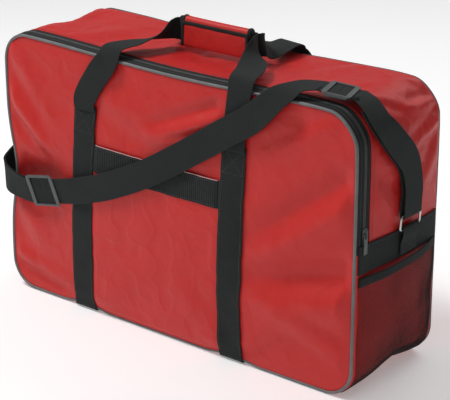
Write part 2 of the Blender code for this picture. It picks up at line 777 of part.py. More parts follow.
def left_run(under):
    """From the left ring to the left adjuster. The lower layer lies under metres inside the upper one."""
    across = (0.0, -0.38, 0.92)
    rows = [
        (-0.4150, -0.0480, 0.2570, *across, 0.026),
        (-0.4145, -0.0700, 0.2465, *across, 0.044),
        (-0.4125, -0.0900, 0.2370, *across, 0.049),
        (-0.4078, -0.1090, 0.2280, 0.0, -0.36, 0.93, WEBBING),
        (-0.3985, -0.1250, 0.2215, 0.20, -0.22, 0.95, WEBBING),
        (-0.3800, -0.1345, 0.2165, 0.12, -0.08, 0.99, WEBBING),
        (-0.3560, -0.1385, 0.2130, -0.02, -0.14, 0.98, WEBBING),
    ]
    inwards = [(1, 0), (1, 0), (1, 0.05), (0.97, 0.26), (0.75, 0.66), (0.3, 0.95), (0.1, 1)]
    return [(x + under * a, y + under * b, z, *rest) for (x, y, z, *rest), (a, b) in zip(rows, inwards)]


def through_adjuster(hand, spots, under=0.0):
    centre, along, across, out = adjuster_frame(hand)
    return [(*(centre + along * d - out * under), *across, WEBBING) for d in spots]


def right_end_line():
    """(station, y, lean of its width, lift of the upper layer) from the right top corner down to the ring."""
    corner = FLAT_TOP + QUARTER
    return [
        (FLAT_TOP + 0.4 * QUARTER, -0.0640, 0.22, 0.0110),
        (FLAT_TOP + 0.75 * QUARTER, -0.0610, 0.25, 0.0110),
        (corner + 0.012, -0.0290, 0.28, 0.0115),
        (corner + 0.050, 0.0030, 0.22, 0.0125),
        (corner + 0.095, 0.0160, 0.08, 0.0130),
        (corner + 0.124, RING_Y["right"], 0.0, 0.0135),
    ]


def down_end(under):
    """Controls down the end. The lower layer lies under metres inside the upper one at the ring, and closer above."""
    rows = []
    for s, y, lean, lift in right_end_line():
        nx, nz = outline(s)[2:]
        spot = gusset_point(s, y, lift - under * (0.65 + 0.35 * (lift - 0.0110) / 0.0025))
        rows.append((*spot, -lean * nz, 1.0, lean * nx, WEBBING))
    return rows


def build_strap():
    """One length: from the left adjuster round the left ring, over the front and the top edge, to the right ring and back."""
    under = 0.0048
    front = [
        (-0.2200, -0.1415, 0.2335, -0.22, -0.16, 0.95),
        (-0.1790, -0.1425, 0.2460, -0.30, -0.08, 0.93),
        (-0.1170, -0.1435, 0.2695, -0.40, -0.02, 0.92),
        (-0.0225, -0.1430, 0.3170, -0.48, 0.0, 0.88),
        (0.0845, -0.1365, 0.3850, -0.52, 0.0, 0.86),
        (0.1370, -0.1350, 0.4200, -0.55, 0.0, 0.83),
        (0.1880, -0.1355, 0.4530, -0.58, 0.05, 0.81),
        (0.2150, -0.1345, 0.4770, -0.60, 0.24, 0.75),
        (0.2390, -0.1240, 0.5010, -0.66, 0.53, 0.53),
        (0.2600, -0.0985, 0.5160, -0.50, 0.85, 0.14),
    ]
    controls = [
        *through_adjuster("left", (0.010, -0.020, -0.040), under),
        *left_run(0.0026)[::-1],
        *left_fold()[::-1],
        *left_run(0.0),
        *through_adjuster("left", (-0.040, -0.030, 0.0, 0.030, 0.040)),
        *[(*row, WEBBING) for row in front],
        *through_adjuster("right", (-0.036, -0.028, 0.0, 0.028, 0.036)),
        *down_end(0.0),
        *right_fold(),
        *down_end(0.0080)[::-1],
    ]
    ribbon("shoulder_strap", controls, 0.016)


def main():
    clear_scene()
    new_collection(PARTS)
    cutters = new_collection("cutters")
    cutters.hide_render = True
    build_shell()
    build_zip()
    build_pull(build_slider())
    build_webbing()
    build_grip()
    build_front_pocket()
    for side, hand in ((-1, "left"), (1, "right")):
        build_end(side, hand)
        build_tab(side, hand)
        build_ring(side, hand)
        build_adjuster(hand)
    build_strap()


main()
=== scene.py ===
"""Looks of a soft equipment bag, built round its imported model.

Places are in metres in the bag's own frame: +X towards the slider's end, +Y to the back, +Z up.
BagForm works out one soft form, and every piece of cloth, tape and webbing lies on it, so that the
pieces sag and fold together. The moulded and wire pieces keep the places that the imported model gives.
"""

import logging
import math
from dataclasses import dataclass
from enum import Enum
from functools import cached_property
from typing import Any, Sequence

import bpy
import numpy as np
from mathutils import Matrix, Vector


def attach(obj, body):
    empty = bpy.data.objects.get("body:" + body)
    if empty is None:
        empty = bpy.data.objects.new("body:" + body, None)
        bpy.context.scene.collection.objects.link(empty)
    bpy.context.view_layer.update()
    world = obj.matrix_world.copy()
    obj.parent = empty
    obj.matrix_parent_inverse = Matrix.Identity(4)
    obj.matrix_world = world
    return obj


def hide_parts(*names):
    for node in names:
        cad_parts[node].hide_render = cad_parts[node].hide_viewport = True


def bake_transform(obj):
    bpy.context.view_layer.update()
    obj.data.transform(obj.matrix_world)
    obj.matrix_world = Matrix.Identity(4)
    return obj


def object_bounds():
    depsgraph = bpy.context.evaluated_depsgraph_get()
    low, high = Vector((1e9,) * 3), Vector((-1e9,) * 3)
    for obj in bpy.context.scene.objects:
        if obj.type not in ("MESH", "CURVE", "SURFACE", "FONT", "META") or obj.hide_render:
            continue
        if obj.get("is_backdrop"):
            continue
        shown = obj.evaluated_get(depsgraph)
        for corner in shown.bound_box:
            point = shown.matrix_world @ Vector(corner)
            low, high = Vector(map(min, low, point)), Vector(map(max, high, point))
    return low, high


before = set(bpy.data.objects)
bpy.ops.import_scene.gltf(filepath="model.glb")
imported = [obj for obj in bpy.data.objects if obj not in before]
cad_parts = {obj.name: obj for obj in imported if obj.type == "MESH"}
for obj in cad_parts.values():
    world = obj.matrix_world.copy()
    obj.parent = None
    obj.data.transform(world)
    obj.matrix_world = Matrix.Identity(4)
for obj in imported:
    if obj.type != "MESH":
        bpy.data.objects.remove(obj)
CAD_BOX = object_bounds()
LOG = logging.getLogger("equipment_bag")

WEBBING_THICK = 0.0016
WEBBING_CUP = 0.0003
STRAP_WIDTH = 0.050
# A step short enough to read a line's direction from
NUDGE = 1e-4

Array = np.ndarray
Colour = tuple[float, float, float]


class Slot(Enum):
    """The record's material slots."""

    CLOTH = "shell_cloth"
    NET = "pocket_mesh"
    WEBBING = "webbing"
    TAPE = "zip_tape"
    COIL = "zip_coil"
    PIPING = "piping"
    PLASTIC = "moulded_plastic"
    WIRE = "ring_wire"


class Side(Enum):
    """The two ends of the bag, as the sign of their x."""

    LEFT = -1
    RIGHT = 1

    @property
    def word(self) -> str:
        """The end's name in node names."""
        return self.name.lower()


# ---------------------------------------------------------------- shader values


class Value:
    """A socket in a material. Arithmetic on it adds Math nodes."""

    def __init__(self, shop: "Shop", socket: bpy.types.NodeSocket) -> None:
        """Wraps a socket of the shop's tree."""
        self.shop = shop
        self.socket = socket

    def _math(self, operation: str, *numbers: Any) -> "Value":
        """Adds one Math node on the numbers."""
        return self.shop.node("ShaderNodeMath", {"operation": operation}, dict(enumerate(numbers)))

    def __add__(self, other: Any) -> "Value":
        """Sum."""
        return self._math("ADD", self, other)

    def __sub__(self, other: Any) -> "Value":
        """Difference."""
        return self._math("SUBTRACT", self, other)

    def __rsub__(self, other: Any) -> "Value":
        """Difference, reflected."""
        return self._math("SUBTRACT", other, self)

    def __mul__(self, other: Any) -> "Value":
        """Product."""
        return self._math("MULTIPLY", self, other)

    def __truediv__(self, other: Any) -> "Value":
        """Quotient."""
        return self._math("DIVIDE", self, other)

    __radd__ = __add__
    __rmul__ = __mul__

    def wave(self, period: float, phase: float = 0.0) -> "Value":
        """A sine of this length, from -1 to 1."""
        return self._math("SINE", self * (2 * math.pi / period) + phase)

    def size(self) -> "Value":
        """The number without its sign."""
        return self._math("ABSOLUTE", self)

    def step(self, low: float, high: float) -> "Value":
        """0 below low, 1 above high, and smooth between them."""
        return self.shop.node(
            "ShaderNodeMapRange",
            {"interpolation_type": "SMOOTHSTEP"},
            {"Value": self, "From Min": low, "From Max": high},
        )


class Shop:
    """The node tree of one material, with one method that adds any node."""

    def __init__(self, name: str) -> None:
        """Starts a material with its Principled shader."""
        self.material = bpy.data.materials.new(name)
        self.material.use_nodes = True
        self.tree = self.material.node_tree
        self.shader = self.tree.nodes["Principled BSDF"]

    def node(self, kind: str, settings: dict[str, Any], sockets: dict[Any, Any], output: Any = 0) -> Value:
        """Adds a node.

        Args:
            kind: The node's type.
            settings: Its own settings.
            sockets: Values or links of its inputs, by name or number.
            output: The output to return.

        Returns:
            The chosen output.
        """
        made = self.tree.nodes.new(kind)
        for key, value in settings.items():
            setattr(made, key, value)
        for key, value in sockets.items():
            self.plug(made.inputs[key], value)
        return Value(self, made.outputs[output])

    def plug(self, socket: bpy.types.NodeSocket, value: Any) -> None:
        """Links or sets one input."""
        if isinstance(value, Value):
            self.tree.links.new(value.socket, socket)
        elif isinstance(value, tuple) and len(value) == 3 and socket.type == "RGBA":
            socket.default_value = (*value, 1.0)
        else:
            socket.default_value = value

    def place(self) -> Value:
        """Object coordinates."""
        return self.node("ShaderNodeTexCoord", {}, {}, "Object")

    def across_along(self) -> tuple[Value, Value]:
        """The piece's own measures: across the cloth and along it, in metres."""
        uv = self.node("ShaderNodeTexCoord", {}, {}, "UV")
        return self.part(uv, "X"), self.part(uv, "Y")

    def part(self, vector: Value, axis: str) -> Value:
        """One part of a vector."""
        return self.node("ShaderNodeSeparateXYZ", {}, {0: vector}, axis)

    def noise(self, scale: float, detail: float = 2.0) -> Value:
        """Smooth noise from about 0 to 1."""
        return self.node("ShaderNodeTexNoise", {}, {"Vector": self.place(), "Scale": scale, "Detail": detail})

    def mix(self, share: Any, first: Any, second: Any) -> Value:
        """A colour between two, by share."""
        return self.node("ShaderNodeMix", {"data_type": "RGBA"}, {"Factor": share, 6: first, 7: second}, 2)

    def bump(self, height: Value, strength: float, distance: float, under: Value | None = None) -> Value:
        """A normal bent by a height."""
        sockets: dict[Any, Any] = {"Height": height, "Strength": strength, "Distance": distance}
        if under is not None:
            sockets["Normal"] = under
        return self.node("ShaderNodeBump", {}, sockets)

    def finish(self, **sockets: Any) -> bpy.types.Material:
        """Sets the shader's inputs, each named with _ for a space, and returns the material."""
        for key, value in sockets.items():
            self.plug(self.shader.inputs[key.replace("_", " ")], value)
        return self.material


@dataclass(frozen=True)
class Cloth:
    """Coated woven polyester: a fine weave under a satin skin, with soft creases and painted shade in them.
    """

    name: str = "red_cloth"
    colour: Colour = (0.57, 0.024, 0.020)
    # The darker colour: random tone, and painted shade in the creases.
    shade: Colour = (0.44, 0.012, 0.011)
    thread: float = 0.0009

    def material(self) -> bpy.types.Material:
        """Weave and creases go to the normal, and slow noise to colour and gloss. The creases also darken the
        colour towards the darker colour: painted shade in the creases.
        """
        shop = Shop(self.name)
        across, along = shop.across_along()
        weave = across.wave(self.thread) * along.wave(self.thread)
        crease = shop.noise(26.0, 5.0)
        # Crease lines: they shape the bump and also darken the colour, as painted shade.
        folds = 1.0 - ((crease - 0.5) * 5.0).size().step(0.0, 0.35)
        patch = shop.noise(7.0, 3.0)
        grain = shop.noise(900.0, 2.0)
        # Patches and grain vary the tone at random; the creases add painted shade.
        colour = shop.mix(patch * 0.35 + grain * 0.20 + folds * 0.10, self.colour, self.shade)
        soft = shop.bump(crease + folds * 0.10, 0.30, 0.004)
        return shop.finish(
            Base_Color=colour,
            Roughness=0.40 + patch * 0.10 + weave * 0.03,
            Normal=shop.bump(weave, 0.16, 0.0002, soft),
            Specular_IOR_Level=0.30,
            Sheen_Weight=0.03,
            Sheen_Roughness=0.4,
        )


@dataclass(frozen=True)
class Webbing:
    """Flat woven webbing: ribs across it, rows of warp along it, paler edges where it wears, and a painted
    highlight on the rib crests.
    """

    name: str = "black_webbing"
    colour: Colour = (0.0085, 0.0105, 0.0105)
    # The paler colour: fibre fuzz, patches and edge wear, and the painted highlight on the rib crests.
    worn: Colour = (0.030, 0.034, 0.034)
    rib: float = 0.0034
    warp: float = 0.0046
    width: float = 0.050
    strength: float = 0.55
    plain: bool = True

    def material(self) -> bpy.types.Material:
        """Ribs alternate from row to row, as in a plain weave. The rib crests are painted paler, as a
        highlight.
        """
        shop = Shop(self.name)
        across, along = shop.across_along()
        rows = across.wave(self.warp) if self.plain else 1.0
        weave = along.wave(self.rib) * rows
        fuzz = shop.noise(1400.0, 2.0)
        patch = shop.noise(18.0, 3.0)
        edge = (across / self.width).size().step(0.43, 0.5)
        # Lighter on the rib crests: painted highlight; fuzz, patches and edges add real tone and wear.
        light = weave.step(-0.2, 1.0) * 0.40 + fuzz * 0.25 + patch * 0.20 + edge * 0.15
        return shop.finish(
            Base_Color=shop.mix(light, self.colour, self.worn),
            Roughness=0.78 + fuzz * 0.12,
            Normal=shop.bump(weave + fuzz * 0.4, self.strength, 0.0006),
            Specular_IOR_Level=0.20,
            Sheen_Weight=0.03,
            Sheen_Roughness=0.5,
        )


@dataclass(frozen=True)
class Moulded:
    """Moulded plastic or covered cord: fine grain, soft gloss and rubbed high spots."""

    name: str
    colour: Colour
    rubbed: Colour
    roughness: float = 0.42
    grain: float = 1600.0
    metallic: float = 0.0

    def material(self) -> bpy.types.Material:
        """Grain goes to the normal, and broad noise to colour and gloss."""
        shop = Shop(self.name)
        grain = shop.noise(self.grain, 2.0)
        patch = shop.noise(40.0, 4.0)
        return shop.finish(
            Base_Color=shop.mix(patch.step(0.35, 0.8) * 0.6 + grain * 0.15, self.colour, self.rubbed),
            Roughness=self.roughness + patch * 0.16,
            Normal=shop.bump(grain, 0.25, 0.0002),
            Metallic=self.metallic,
        )


@dataclass(frozen=True)
class Floor:
    """A plain pale floor."""

    name: str = "pale_floor"

    def material(self) -> bpy.types.Material:
        """Almost white, with the least of unevenness."""
        shop = Shop(self.name)
        patch = shop.noise(0.8, 2.0)
        pale = shop.mix(patch, (0.90, 0.90, 0.90), (0.93, 0.93, 0.93))
        return shop.finish(
            Base_Color=pale, Roughness=0.9, Emission_Color=(1.0, 1.0, 1.0), Emission_Strength=0.22
        )


class Finish(Enum):
    """Every finish on the bag, each with the record's slot that it is made for."""

    CLOTH = Slot.CLOTH, Cloth()
    # A darker copy of the red cloth for the band over the top, ends and base: painted shade, the same cloth
    # as the panels.
    END_CLOTH = Slot.CLOTH, Cloth("red_end_cloth", (0.53, 0.016, 0.014), (0.38, 0.008, 0.008))
    WEBBING = Slot.WEBBING, Webbing()
    RIBBED = Slot.WEBBING, Webbing("ribbed_webbing", rib=0.0042, strength=0.8, plain=False)
    TAPE = Slot.TAPE, Webbing(
        "woven_tape", (0.009, 0.010, 0.010), (0.028, 0.030, 0.031), 0.0014, 0.0018, 0.016, 0.4
    )
    COIL = Slot.COIL, Moulded("nylon_coil", (0.022, 0.023, 0.024), (0.07, 0.072, 0.075), 0.30)
    PIPING = Slot.PIPING, Moulded("grey_piping", (0.115, 0.118, 0.120), (0.19, 0.19, 0.195), 0.5, 700.0)
    # A darker copy of the grey piping for the back seam: painted shade.
    DARK_PIPING = Slot.PIPING, Moulded("dark_piping", (0.055, 0.058, 0.060), (0.10, 0.10, 0.105), 0.5, 700.0)
    PLASTIC = Slot.PLASTIC, Moulded("grey_plastic", (0.060, 0.068, 0.069), (0.10, 0.108, 0.108))
    WIRE = Slot.WIRE, Moulded("plated_wire", (0.44, 0.44, 0.45), (0.62, 0.62, 0.62), 0.24, 500.0, 1.0)
    NET = Slot.NET, Moulded("knitted_net", (0.020, 0.012, 0.012), (0.06, 0.03, 0.03), 0.7, 900.0)
    RED_THREAD = Slot.CLOTH, Moulded("red_thread", (0.40, 0.018, 0.018), (0.60, 0.06, 0.05), 0.5)
    BLACK_THREAD = Slot.WEBBING, Moulded("black_thread", (0.045, 0.047, 0.047), (0.09, 0.09, 0.09), 0.5)
    PALE_THREAD = Slot.CLOTH, Moulded("pale_thread", (0.45, 0.25, 0.25), (0.60, 0.40, 0.38), 0.5)

    @property
    def slot(self) -> Slot:
        """The record's slot."""
        return self.value[0]

    @cached_property
    def material(self) -> bpy.types.Material:
        """The material, made once."""
        return self.value[1].material()


# ---------------------------------------------------------------- surfaces


def unit(vectors: Array) -> Array:
    """Vectors made one metre long."""
    return vectors / np.maximum(np.linalg.norm(vectors, axis=-1, keepdims=True), 1e-12)


def smooth(value: Any, low: float, high: float) -> Array:
    """0 below low, 1 above high: three times the square less twice the cube of the share between."""
    share = np.clip((np.asarray(value, float) - low) / (high - low), 0.0, 1.0)
    return share * share * (3 - 2 * share)


def add(name: str, data: Any) -> bpy.types.Object:
    """Puts an object that holds the data into the scene."""
    thing = bpy.data.objects.new(name, data)
    bpy.context.scene.collection.objects.link(thing)
    return thing


def shaped(
    name: str, points: Array, faces: list[Any], finish: Finish, slot: Slot | None = None, soft: bool = True
) -> bpy.types.Object:
    """Makes a piece from its points and faces.

    Args:
        name: The piece's name.
        points: Any array of places.
        faces: The numbers of each face's points.
        finish: Its finish.
        slot: The record's slot, where it isn't the finish's own. Not used.
        soft: Smooth shading.

    Returns:
        The piece.
    """
    mesh = bpy.data.meshes.new(name)
    mesh.from_pydata(points.reshape(-1, 3), [], faces)
    if soft:
        mesh.polygons.foreach_set("use_smooth", np.ones(len(faces), bool))
    mesh.materials.append(finish.material)
    mesh.update()
    piece = add(name, mesh)
    LOG.info("made %s with %d faces", name, len(faces))
    return piece


def surface(
    name: str,
    points: Array,
    finish: Finish,
    measures: Array | None = None,
    thickness: float = 0.0,
    ring: bool = False,
    loop: bool = False,
) -> bpy.types.Object:
    """Puts a grid of points into a mesh whose faces point along the row step crossed with the column step.

    Args:
        name: The piece's name.
        points: Rows by columns by three.
        finish: Its finish.
        measures: Rows by columns by two, the piece's own measures across and along, in metres.
        thickness: A wall grown inwards, or none.
        ring: The last column joins the first.
        loop: The last row joins the first. A ring with no loop gets closed ends.

    Returns:
        The piece.
    """
    rows, columns = points.shape[:2]
    index = np.arange(rows * columns).reshape(rows, columns)
    if ring:
        index = np.concatenate([index, index[:, :1]], axis=1)
    if loop:
        index = np.concatenate([index, index[:1]], axis=0)
    quads = np.stack([index[:-1, :-1], index[1:, :-1], index[1:, 1:], index[:-1, 1:]], -1).reshape(-1, 4)
    faces = quads.tolist()
    if ring and not loop:
        faces += [list(range(columns)), list(range((rows - 1) * columns, rows * columns))[::-1]]
    piece = shaped(name, points, faces, finish)
    if measures is not None:
        corner = np.zeros(len(piece.data.loops), np.int32)
        piece.data.loops.foreach_get("vertex_index", corner)
        layer = piece.data.uv_layers.new(name="measures")
        layer.data.foreach_set("uv", measures.reshape(-1, 2)[corner].astype(np.float32).ravel())
    if thickness:
        wall = piece.modifiers.new("wall", "SOLIDIFY")
        wall.thickness, wall.offset = thickness, -1.0
    return piece


def ride(piece: bpy.types.Object, body: str, *nodes: str) -> bpy.types.Object:
    """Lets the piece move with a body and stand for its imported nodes."""
    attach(piece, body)
    if nodes:
        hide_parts(*nodes)
    return piece


def lengths(points: Array) -> Array:
    """Distance along a line of points from its start."""
    steps = np.linalg.norm(np.diff(points, axis=0), axis=1)
    return np.concatenate([[0.0], np.cumsum(steps)])


def edged(count: int, rim: float = 0.012) -> Array:
    """Places across a strip from -0.5 to 0.5, with one more just inside each edge."""
    inner = np.linspace(-0.5 + rim, 0.5 - rim, count)
    return np.concatenate([[-0.5], inner, [0.5]])


def at(spots: Array, along: Array, values: Array) -> Array:
    """Rows of values read at these distances, where along gives each row's own distance."""
    return np.stack([np.interp(spots, along, values[:, k]) for k in range(values.shape[1])], -1)


def corners(row: Sequence[Sequence[float]], step: float = 0.003) -> Array:
    """A line through corners, with a point each step."""
    points = np.asarray(row, float)
    along = lengths(points)
    return at(np.unique(np.concatenate([np.arange(0, along[-1], step), along])), along, points)


def smooth_line(points: Sequence[Sequence[float]], step: float) -> Array:
    """Catmull-Rom curve: each stretch is the cubic whose slopes are half the gap between its neighbours."""
    rows = np.asarray(points, float)
    padded = np.vstack([2 * rows[0] - rows[1], rows, 2 * rows[-1] - rows[-2]])
    made = []
    for a, b, c, d in zip(padded, padded[1:], padded[2:], padded[3:]):
        count = max(1, round(float(np.linalg.norm((c - b)[:3])) / step))
        t = (np.arange(count) / count)[:, None]
        square, cube = 2 * a - 5 * b + 4 * c - d, 3 * b - a - 3 * c + d
        made.append(0.5 * (2 * b + (c - a) * t + square * t**2 + cube * t**3))
    return np.vstack([*made, rows[-1:]])


def strip(line: Array, thickness: float, cup: float = 0.0, count: int = 5) -> tuple[Array, Array]:
    """The outer face of flat webbing carried along a line.

    Each point of the face is the line's point, plus the across vector times the width times the place
    across, plus half the thickness and a slight cup along the normal.

    Args:
        line: Rows of x, y, z, the direction across, and the width.
        thickness: The webbing's thickness.
        cup: How far its middle stands above its edges.
        count: Places across between the two rims.

    Returns:
        The points and the measures across and along.
    """
    middle, across, width = line[:, :3], line[:, 3:6], line[:, 6]
    along = unit(np.gradient(middle, axis=0))
    across = unit(across - (across * along).sum(1)[:, None] * along)
    normal = np.cross(along, across)
    places = edged(count)
    lift = thickness / 2 + cup * (1 - (2 * places) ** 2)
    points = (
        middle[:, None]
        + across[:, None] * (width[:, None] * places)[..., None]
        + normal[:, None] * lift[None, :, None]
    )
    measures = np.stack(np.broadcast_arrays(width[:, None] * places, lengths(middle)[:, None]), -1)
    return points, measures


def woven(name: str, rows: Any, step: float, cup: float = 0.0, count: int = 5) -> bpy.types.Object:
    """Flat webbing along the smooth line through its controls, as strip lays it."""
    points, measures = strip(smooth_line(rows, step), WEBBING_THICK, cup, count)
    return surface(f"{name}_woven", points, Finish.WEBBING, measures, WEBBING_THICK)


class Stitching:
    """Collects lines of stitches, each a small spindle, and makes them one piece."""

    def __init__(self, name: str, pitch: float = 0.0042, radius: float = 0.00042) -> None:
        """Starts with no stitches."""
        self.name, self.pitch, self.radius = name, pitch, radius
        self.runs: list[Array] = []

    def sew(self, line: Array, normal: Any) -> None:
        """Adds one row of stitches.

        A spindle is two rings of five points between two ends, stretched along the line.

        Args:
            line: Points of the row.
            normal: The cloth's outward direction, one for the row or one for each point.
        """
        normal = np.broadcast_to(np.asarray(normal, float), line.shape)
        along = lengths(line)
        count = max(1, int(along[-1] / self.pitch))
        spots = (np.arange(count) + 0.5) * along[-1] / count
        centre, out = at(spots, along, line), unit(at(spots, along, normal))
        run = unit(at(spots + NUDGE, along, line) - at(spots - NUDGE, along, line))
        across = unit(np.cross(out, run))
        turn = np.linspace(0, 2 * math.pi, 5, endpoint=False)
        ring = self.radius * (np.cos(turn)[:, None] * across[:, None] + np.sin(turn)[:, None] * out[:, None])
        middle = centre[:, None]
        ends = run[:, None] * (self.pitch * 0.36)
        near, far = middle - ends * 0.55 + ring, middle + ends * 0.55 + ring
        self.runs.append(np.concatenate([middle - ends, near, far, middle + ends], axis=1))

    def piece(self, finish: Finish, body: str, slot: Slot | None = None) -> bpy.types.Object:
        """Joins the stitches into one mesh that rides on a body."""
        spindles = np.concatenate(self.runs)
        around = np.arange(5)
        following = np.roll(around, -1)
        faces = np.concatenate(
            [
                np.stack([0 * around, 1 + following, 1 + around], -1),
                np.stack([1 + around, 1 + following, 6 + around], -1),
                np.stack([1 + following, 6 + following, 6 + around], -1),
                np.stack([6 + around, 6 + following, np.full(5, 11)], -1),
            ]
        )
        every = (faces[None] + 12 * np.arange(len(spindles))[:, None, None]).reshape(-1, 3)
        return ride(shaped(self.name, spindles, every.tolist(), finish, slot), body)


# ---------------------------------------------------------------- the form


@dataclass(frozen=True)
class Fold:
    """A soft ridge in the cloth between two places, strongest at its start, with a hollow beside it."""

    start: tuple[float, float]
    end: tuple[float, float]
    width: float
    height: float
    hollow: float = 0.7

    def height_at(self, a: Array, b: Array) -> Array:
        """Height times a bell of the distance to the line, less a second bell to one side of it."""
        run = (self.end[0] - self.start[0], self.end[1] - self.start[1])
        long = math.hypot(*run)
        share = ((a - self.start[0]) * run[0] + (b - self.start[1]) * run[1]) / long**2
        off = ((a - self.start[0]) * run[1] - (b - self.start[1]) * run[0]) / long / self.width
        past = np.maximum(0.0, np.maximum(-share, share - 1)) * long / self.width
        fade = np.sqrt(np.clip(1.05 - np.clip(share, 0, 1) ** 2, 0, 1)) * np.exp(-(past**2))
        return self.height * fade * (np.exp(-(off**2)) - self.hollow * np.exp(-((off - 1.5) ** 2) * 1.4))


@dataclass(frozen=True)
class Dent:
    """A broad hollow: a bell in both directions."""

    centre: tuple[float, float]
    reach: tuple[float, float]
    depth: float

    def height_at(self, a: Array, b: Array) -> Array:
        """Less the depth times the bell."""
        off = ((a - self.centre[0]) / self.reach[0]) ** 2 + ((b - self.centre[1]) / self.reach[1]) ** 2
        return -self.depth * np.exp(-off)


@dataclass
class BagForm:
    """The bag's soft form. Its outline is a rounded rectangle, s metres clockwise from the top's middle."""

    width: float = 0.788
    depth: float = 0.235
    height: float = 0.500
    corner: float = 0.056
    front_bulge: float = 0.018
    back_bulge: float = 0.010
    end_crown: float = 0.006
    top_sag: float = 0.008
    rise: float = 0.005
    rise_reach: float = 0.045
    zip_rear: float = -0.0823
    webbing: float = 0.050
    sewn_top: float = 0.400
    web_foot: tuple[float, float] = (-0.203, 0.141)
    web_top: tuple[float, float] = (-0.187, 0.151)
    band_middle: float = 0.251
    waist: float = 0.017
    pressed: tuple[float, float] = (0.378, 0.484)
    press: float = 0.0045
    press_reach: float = 0.040
    strap_dent: float = 0.021
    front_folds: tuple[Fold, ...] = (
        Fold((0.385, 0.345), (0.200, 0.205), 0.026, 0.0115, 0.9),
        Fold((0.385, 0.170), (0.190, 0.118), 0.036, 0.0150, 0.9),
        Fold((0.370, 0.075), (0.225, 0.135), 0.022, 0.0045),
        Fold((0.172, 0.040), (0.250, 0.110), 0.014, 0.0035),
        Fold((0.345, 0.470), (0.230, 0.400), 0.016, 0.0025),
        Fold((0.110, 0.440), (-0.030, 0.378), 0.014, 0.0068, 0.9),
        Fold((0.105, 0.400), (0.000, 0.372), 0.008, 0.0022),
        Fold((-0.150, 0.430), (0.020, 0.375), 0.026, 0.0030),
        Fold((-0.385, 0.385), (-0.270, 0.290), 0.022, 0.0095, 0.8),
        Fold((-0.375, 0.465), (-0.250, 0.330), 0.020, 0.0040),
        Fold((-0.392, 0.190), (-0.300, 0.110), 0.026, 0.0060),
        Fold((-0.385, 0.070), (-0.230, 0.042), 0.016, 0.0055, 0.9),
        Fold((-0.170, 0.030), (-0.050, 0.120), 0.030, 0.0035),
        Fold((0.110, 0.030), (0.020, 0.130), 0.026, 0.0030),
    )
    back_folds: tuple[Fold, ...] = (
        Fold((0.385, 0.420), (0.220, 0.260), 0.030, 0.0040),
        Fold((-0.385, 0.430), (-0.230, 0.240), 0.030, 0.0045),
        Fold((0.380, 0.080), (0.220, 0.180), 0.028, 0.0035),
        Fold((-0.380, 0.080), (-0.230, 0.150), 0.024, 0.0035),
        Fold((0.000, 0.470), (-0.060, 0.300), 0.030, 0.0022),
    )
    # On the gusset, the first measure is along the outline and the second is y.
    gusset_folds: tuple[Fold, ...] = (
        Fold((0.365, 0.110), (0.300, 0.010), 0.012, 0.0032),
        Fold((0.400, 0.112), (0.395, 0.020), 0.010, 0.0030),
        Fold((0.430, 0.110), (0.460, 0.020), 0.012, 0.0034),
        Fold((0.345, -0.040), (0.400, 0.050), 0.011, 0.0024),
        Fold((0.470, 0.112), (0.540, 0.060), 0.014, 0.0028),
        Fold((0.520, -0.075), (0.600, 0.010), 0.018, 0.0030),
        Fold((0.455, -0.070), (0.500, -0.010), 0.014, 0.0022),
        Fold((0.250, 0.110), (0.180, 0.000), 0.022, 0.0022),
        Fold((0.050, 0.112), (0.020, -0.040), 0.026, 0.0022),
        Fold((-0.120, 0.110), (-0.060, -0.050), 0.024, 0.0024),
        Fold((-0.260, -0.075), (-0.200, 0.070), 0.026, 0.0024),
        Fold((-0.370, 0.110), (-0.330, 0.000), 0.014, 0.0030),
        Fold((-0.430, 0.110), (-0.480, 0.000), 0.014, 0.0030),
        Fold((-0.420, -0.070), (-0.520, 0.030), 0.018, 0.0028),
    )

    dents: tuple[Dent, ...] = (
        Dent((-0.378, 0.035), (0.080, 0.060), 0.010),
        Dent((0.862, 0.020), (0.060, 0.060), 0.011),
        Dent((-0.862, 0.020), (0.060, 0.060), 0.008),
        Dent((0.180, 0.020), (0.070, 0.050), 0.003),
    )

    def __post_init__(self) -> None:
        """Works out the lengths of the outline's stretches."""
        self.flat = self.width / 2 - self.corner
        self.quarter = self.corner * math.pi / 2
        self.end_run = self.height - 2 * self.corner
        self.half_round = 2 * self.flat + 2 * self.quarter + self.end_run
        draw = np.random.default_rng(7)
        angle = draw.uniform(0, 2 * math.pi, 28)
        size = 2 * math.pi / draw.uniform(0.035, 0.120, 28)
        self.ripple = np.stack([np.cos(angle) * size, np.sin(angle) * size, draw.uniform(0, 6.28, 28)], -1)

    def station(self, z: Any) -> Array:
        """Distance along the outline to height z on the right end."""
        return self.flat + self.quarter + (self.height - self.corner - np.asarray(z, float))

    def wrap(self, s: Any) -> Array:
        """The same place on the outline, at most half way round from the top's middle."""
        return (np.asarray(s, float) + self.half_round) % (2 * self.half_round) - self.half_round

    def outward(self, s: Any) -> Array:
        """Outward directions on the outline."""
        _, _, nx, nz = self.outline(s)
        return np.stack([nx, 0 * nx, nz], -1)

    def outline(self, s: Any, inset: float = 0.0) -> tuple[Array, Array, Array, Array]:
        """Point and outward normal in x and z: the top, a quarter turn, the end, another turn, the base."""
        wrapped = self.wrap(s)
        side, t = np.where(wrapped >= 0, 1.0, -1.0), np.abs(wrapped)
        top = np.clip(t, 0, self.flat)
        first = np.clip((t - self.flat) / self.corner, 0, math.pi / 2)
        run = np.clip(t - self.flat - self.quarter, 0, self.end_run)
        second = np.clip((t - self.flat - self.quarter - self.end_run) / self.corner, 0, math.pi / 2)
        base = np.clip(t - self.flat - 2 * self.quarter - self.end_run, 0, self.flat)
        nx, nz = np.sin(first + second), np.cos(first + second)
        x = top + self.corner * (np.sin(first) + np.cos(second) - 1) - base
        z = self.height - self.corner * (1 - np.cos(first)) - run - self.corner * np.sin(second)
        return side * (x - inset * nx), z - inset * nz, side * nx, nz

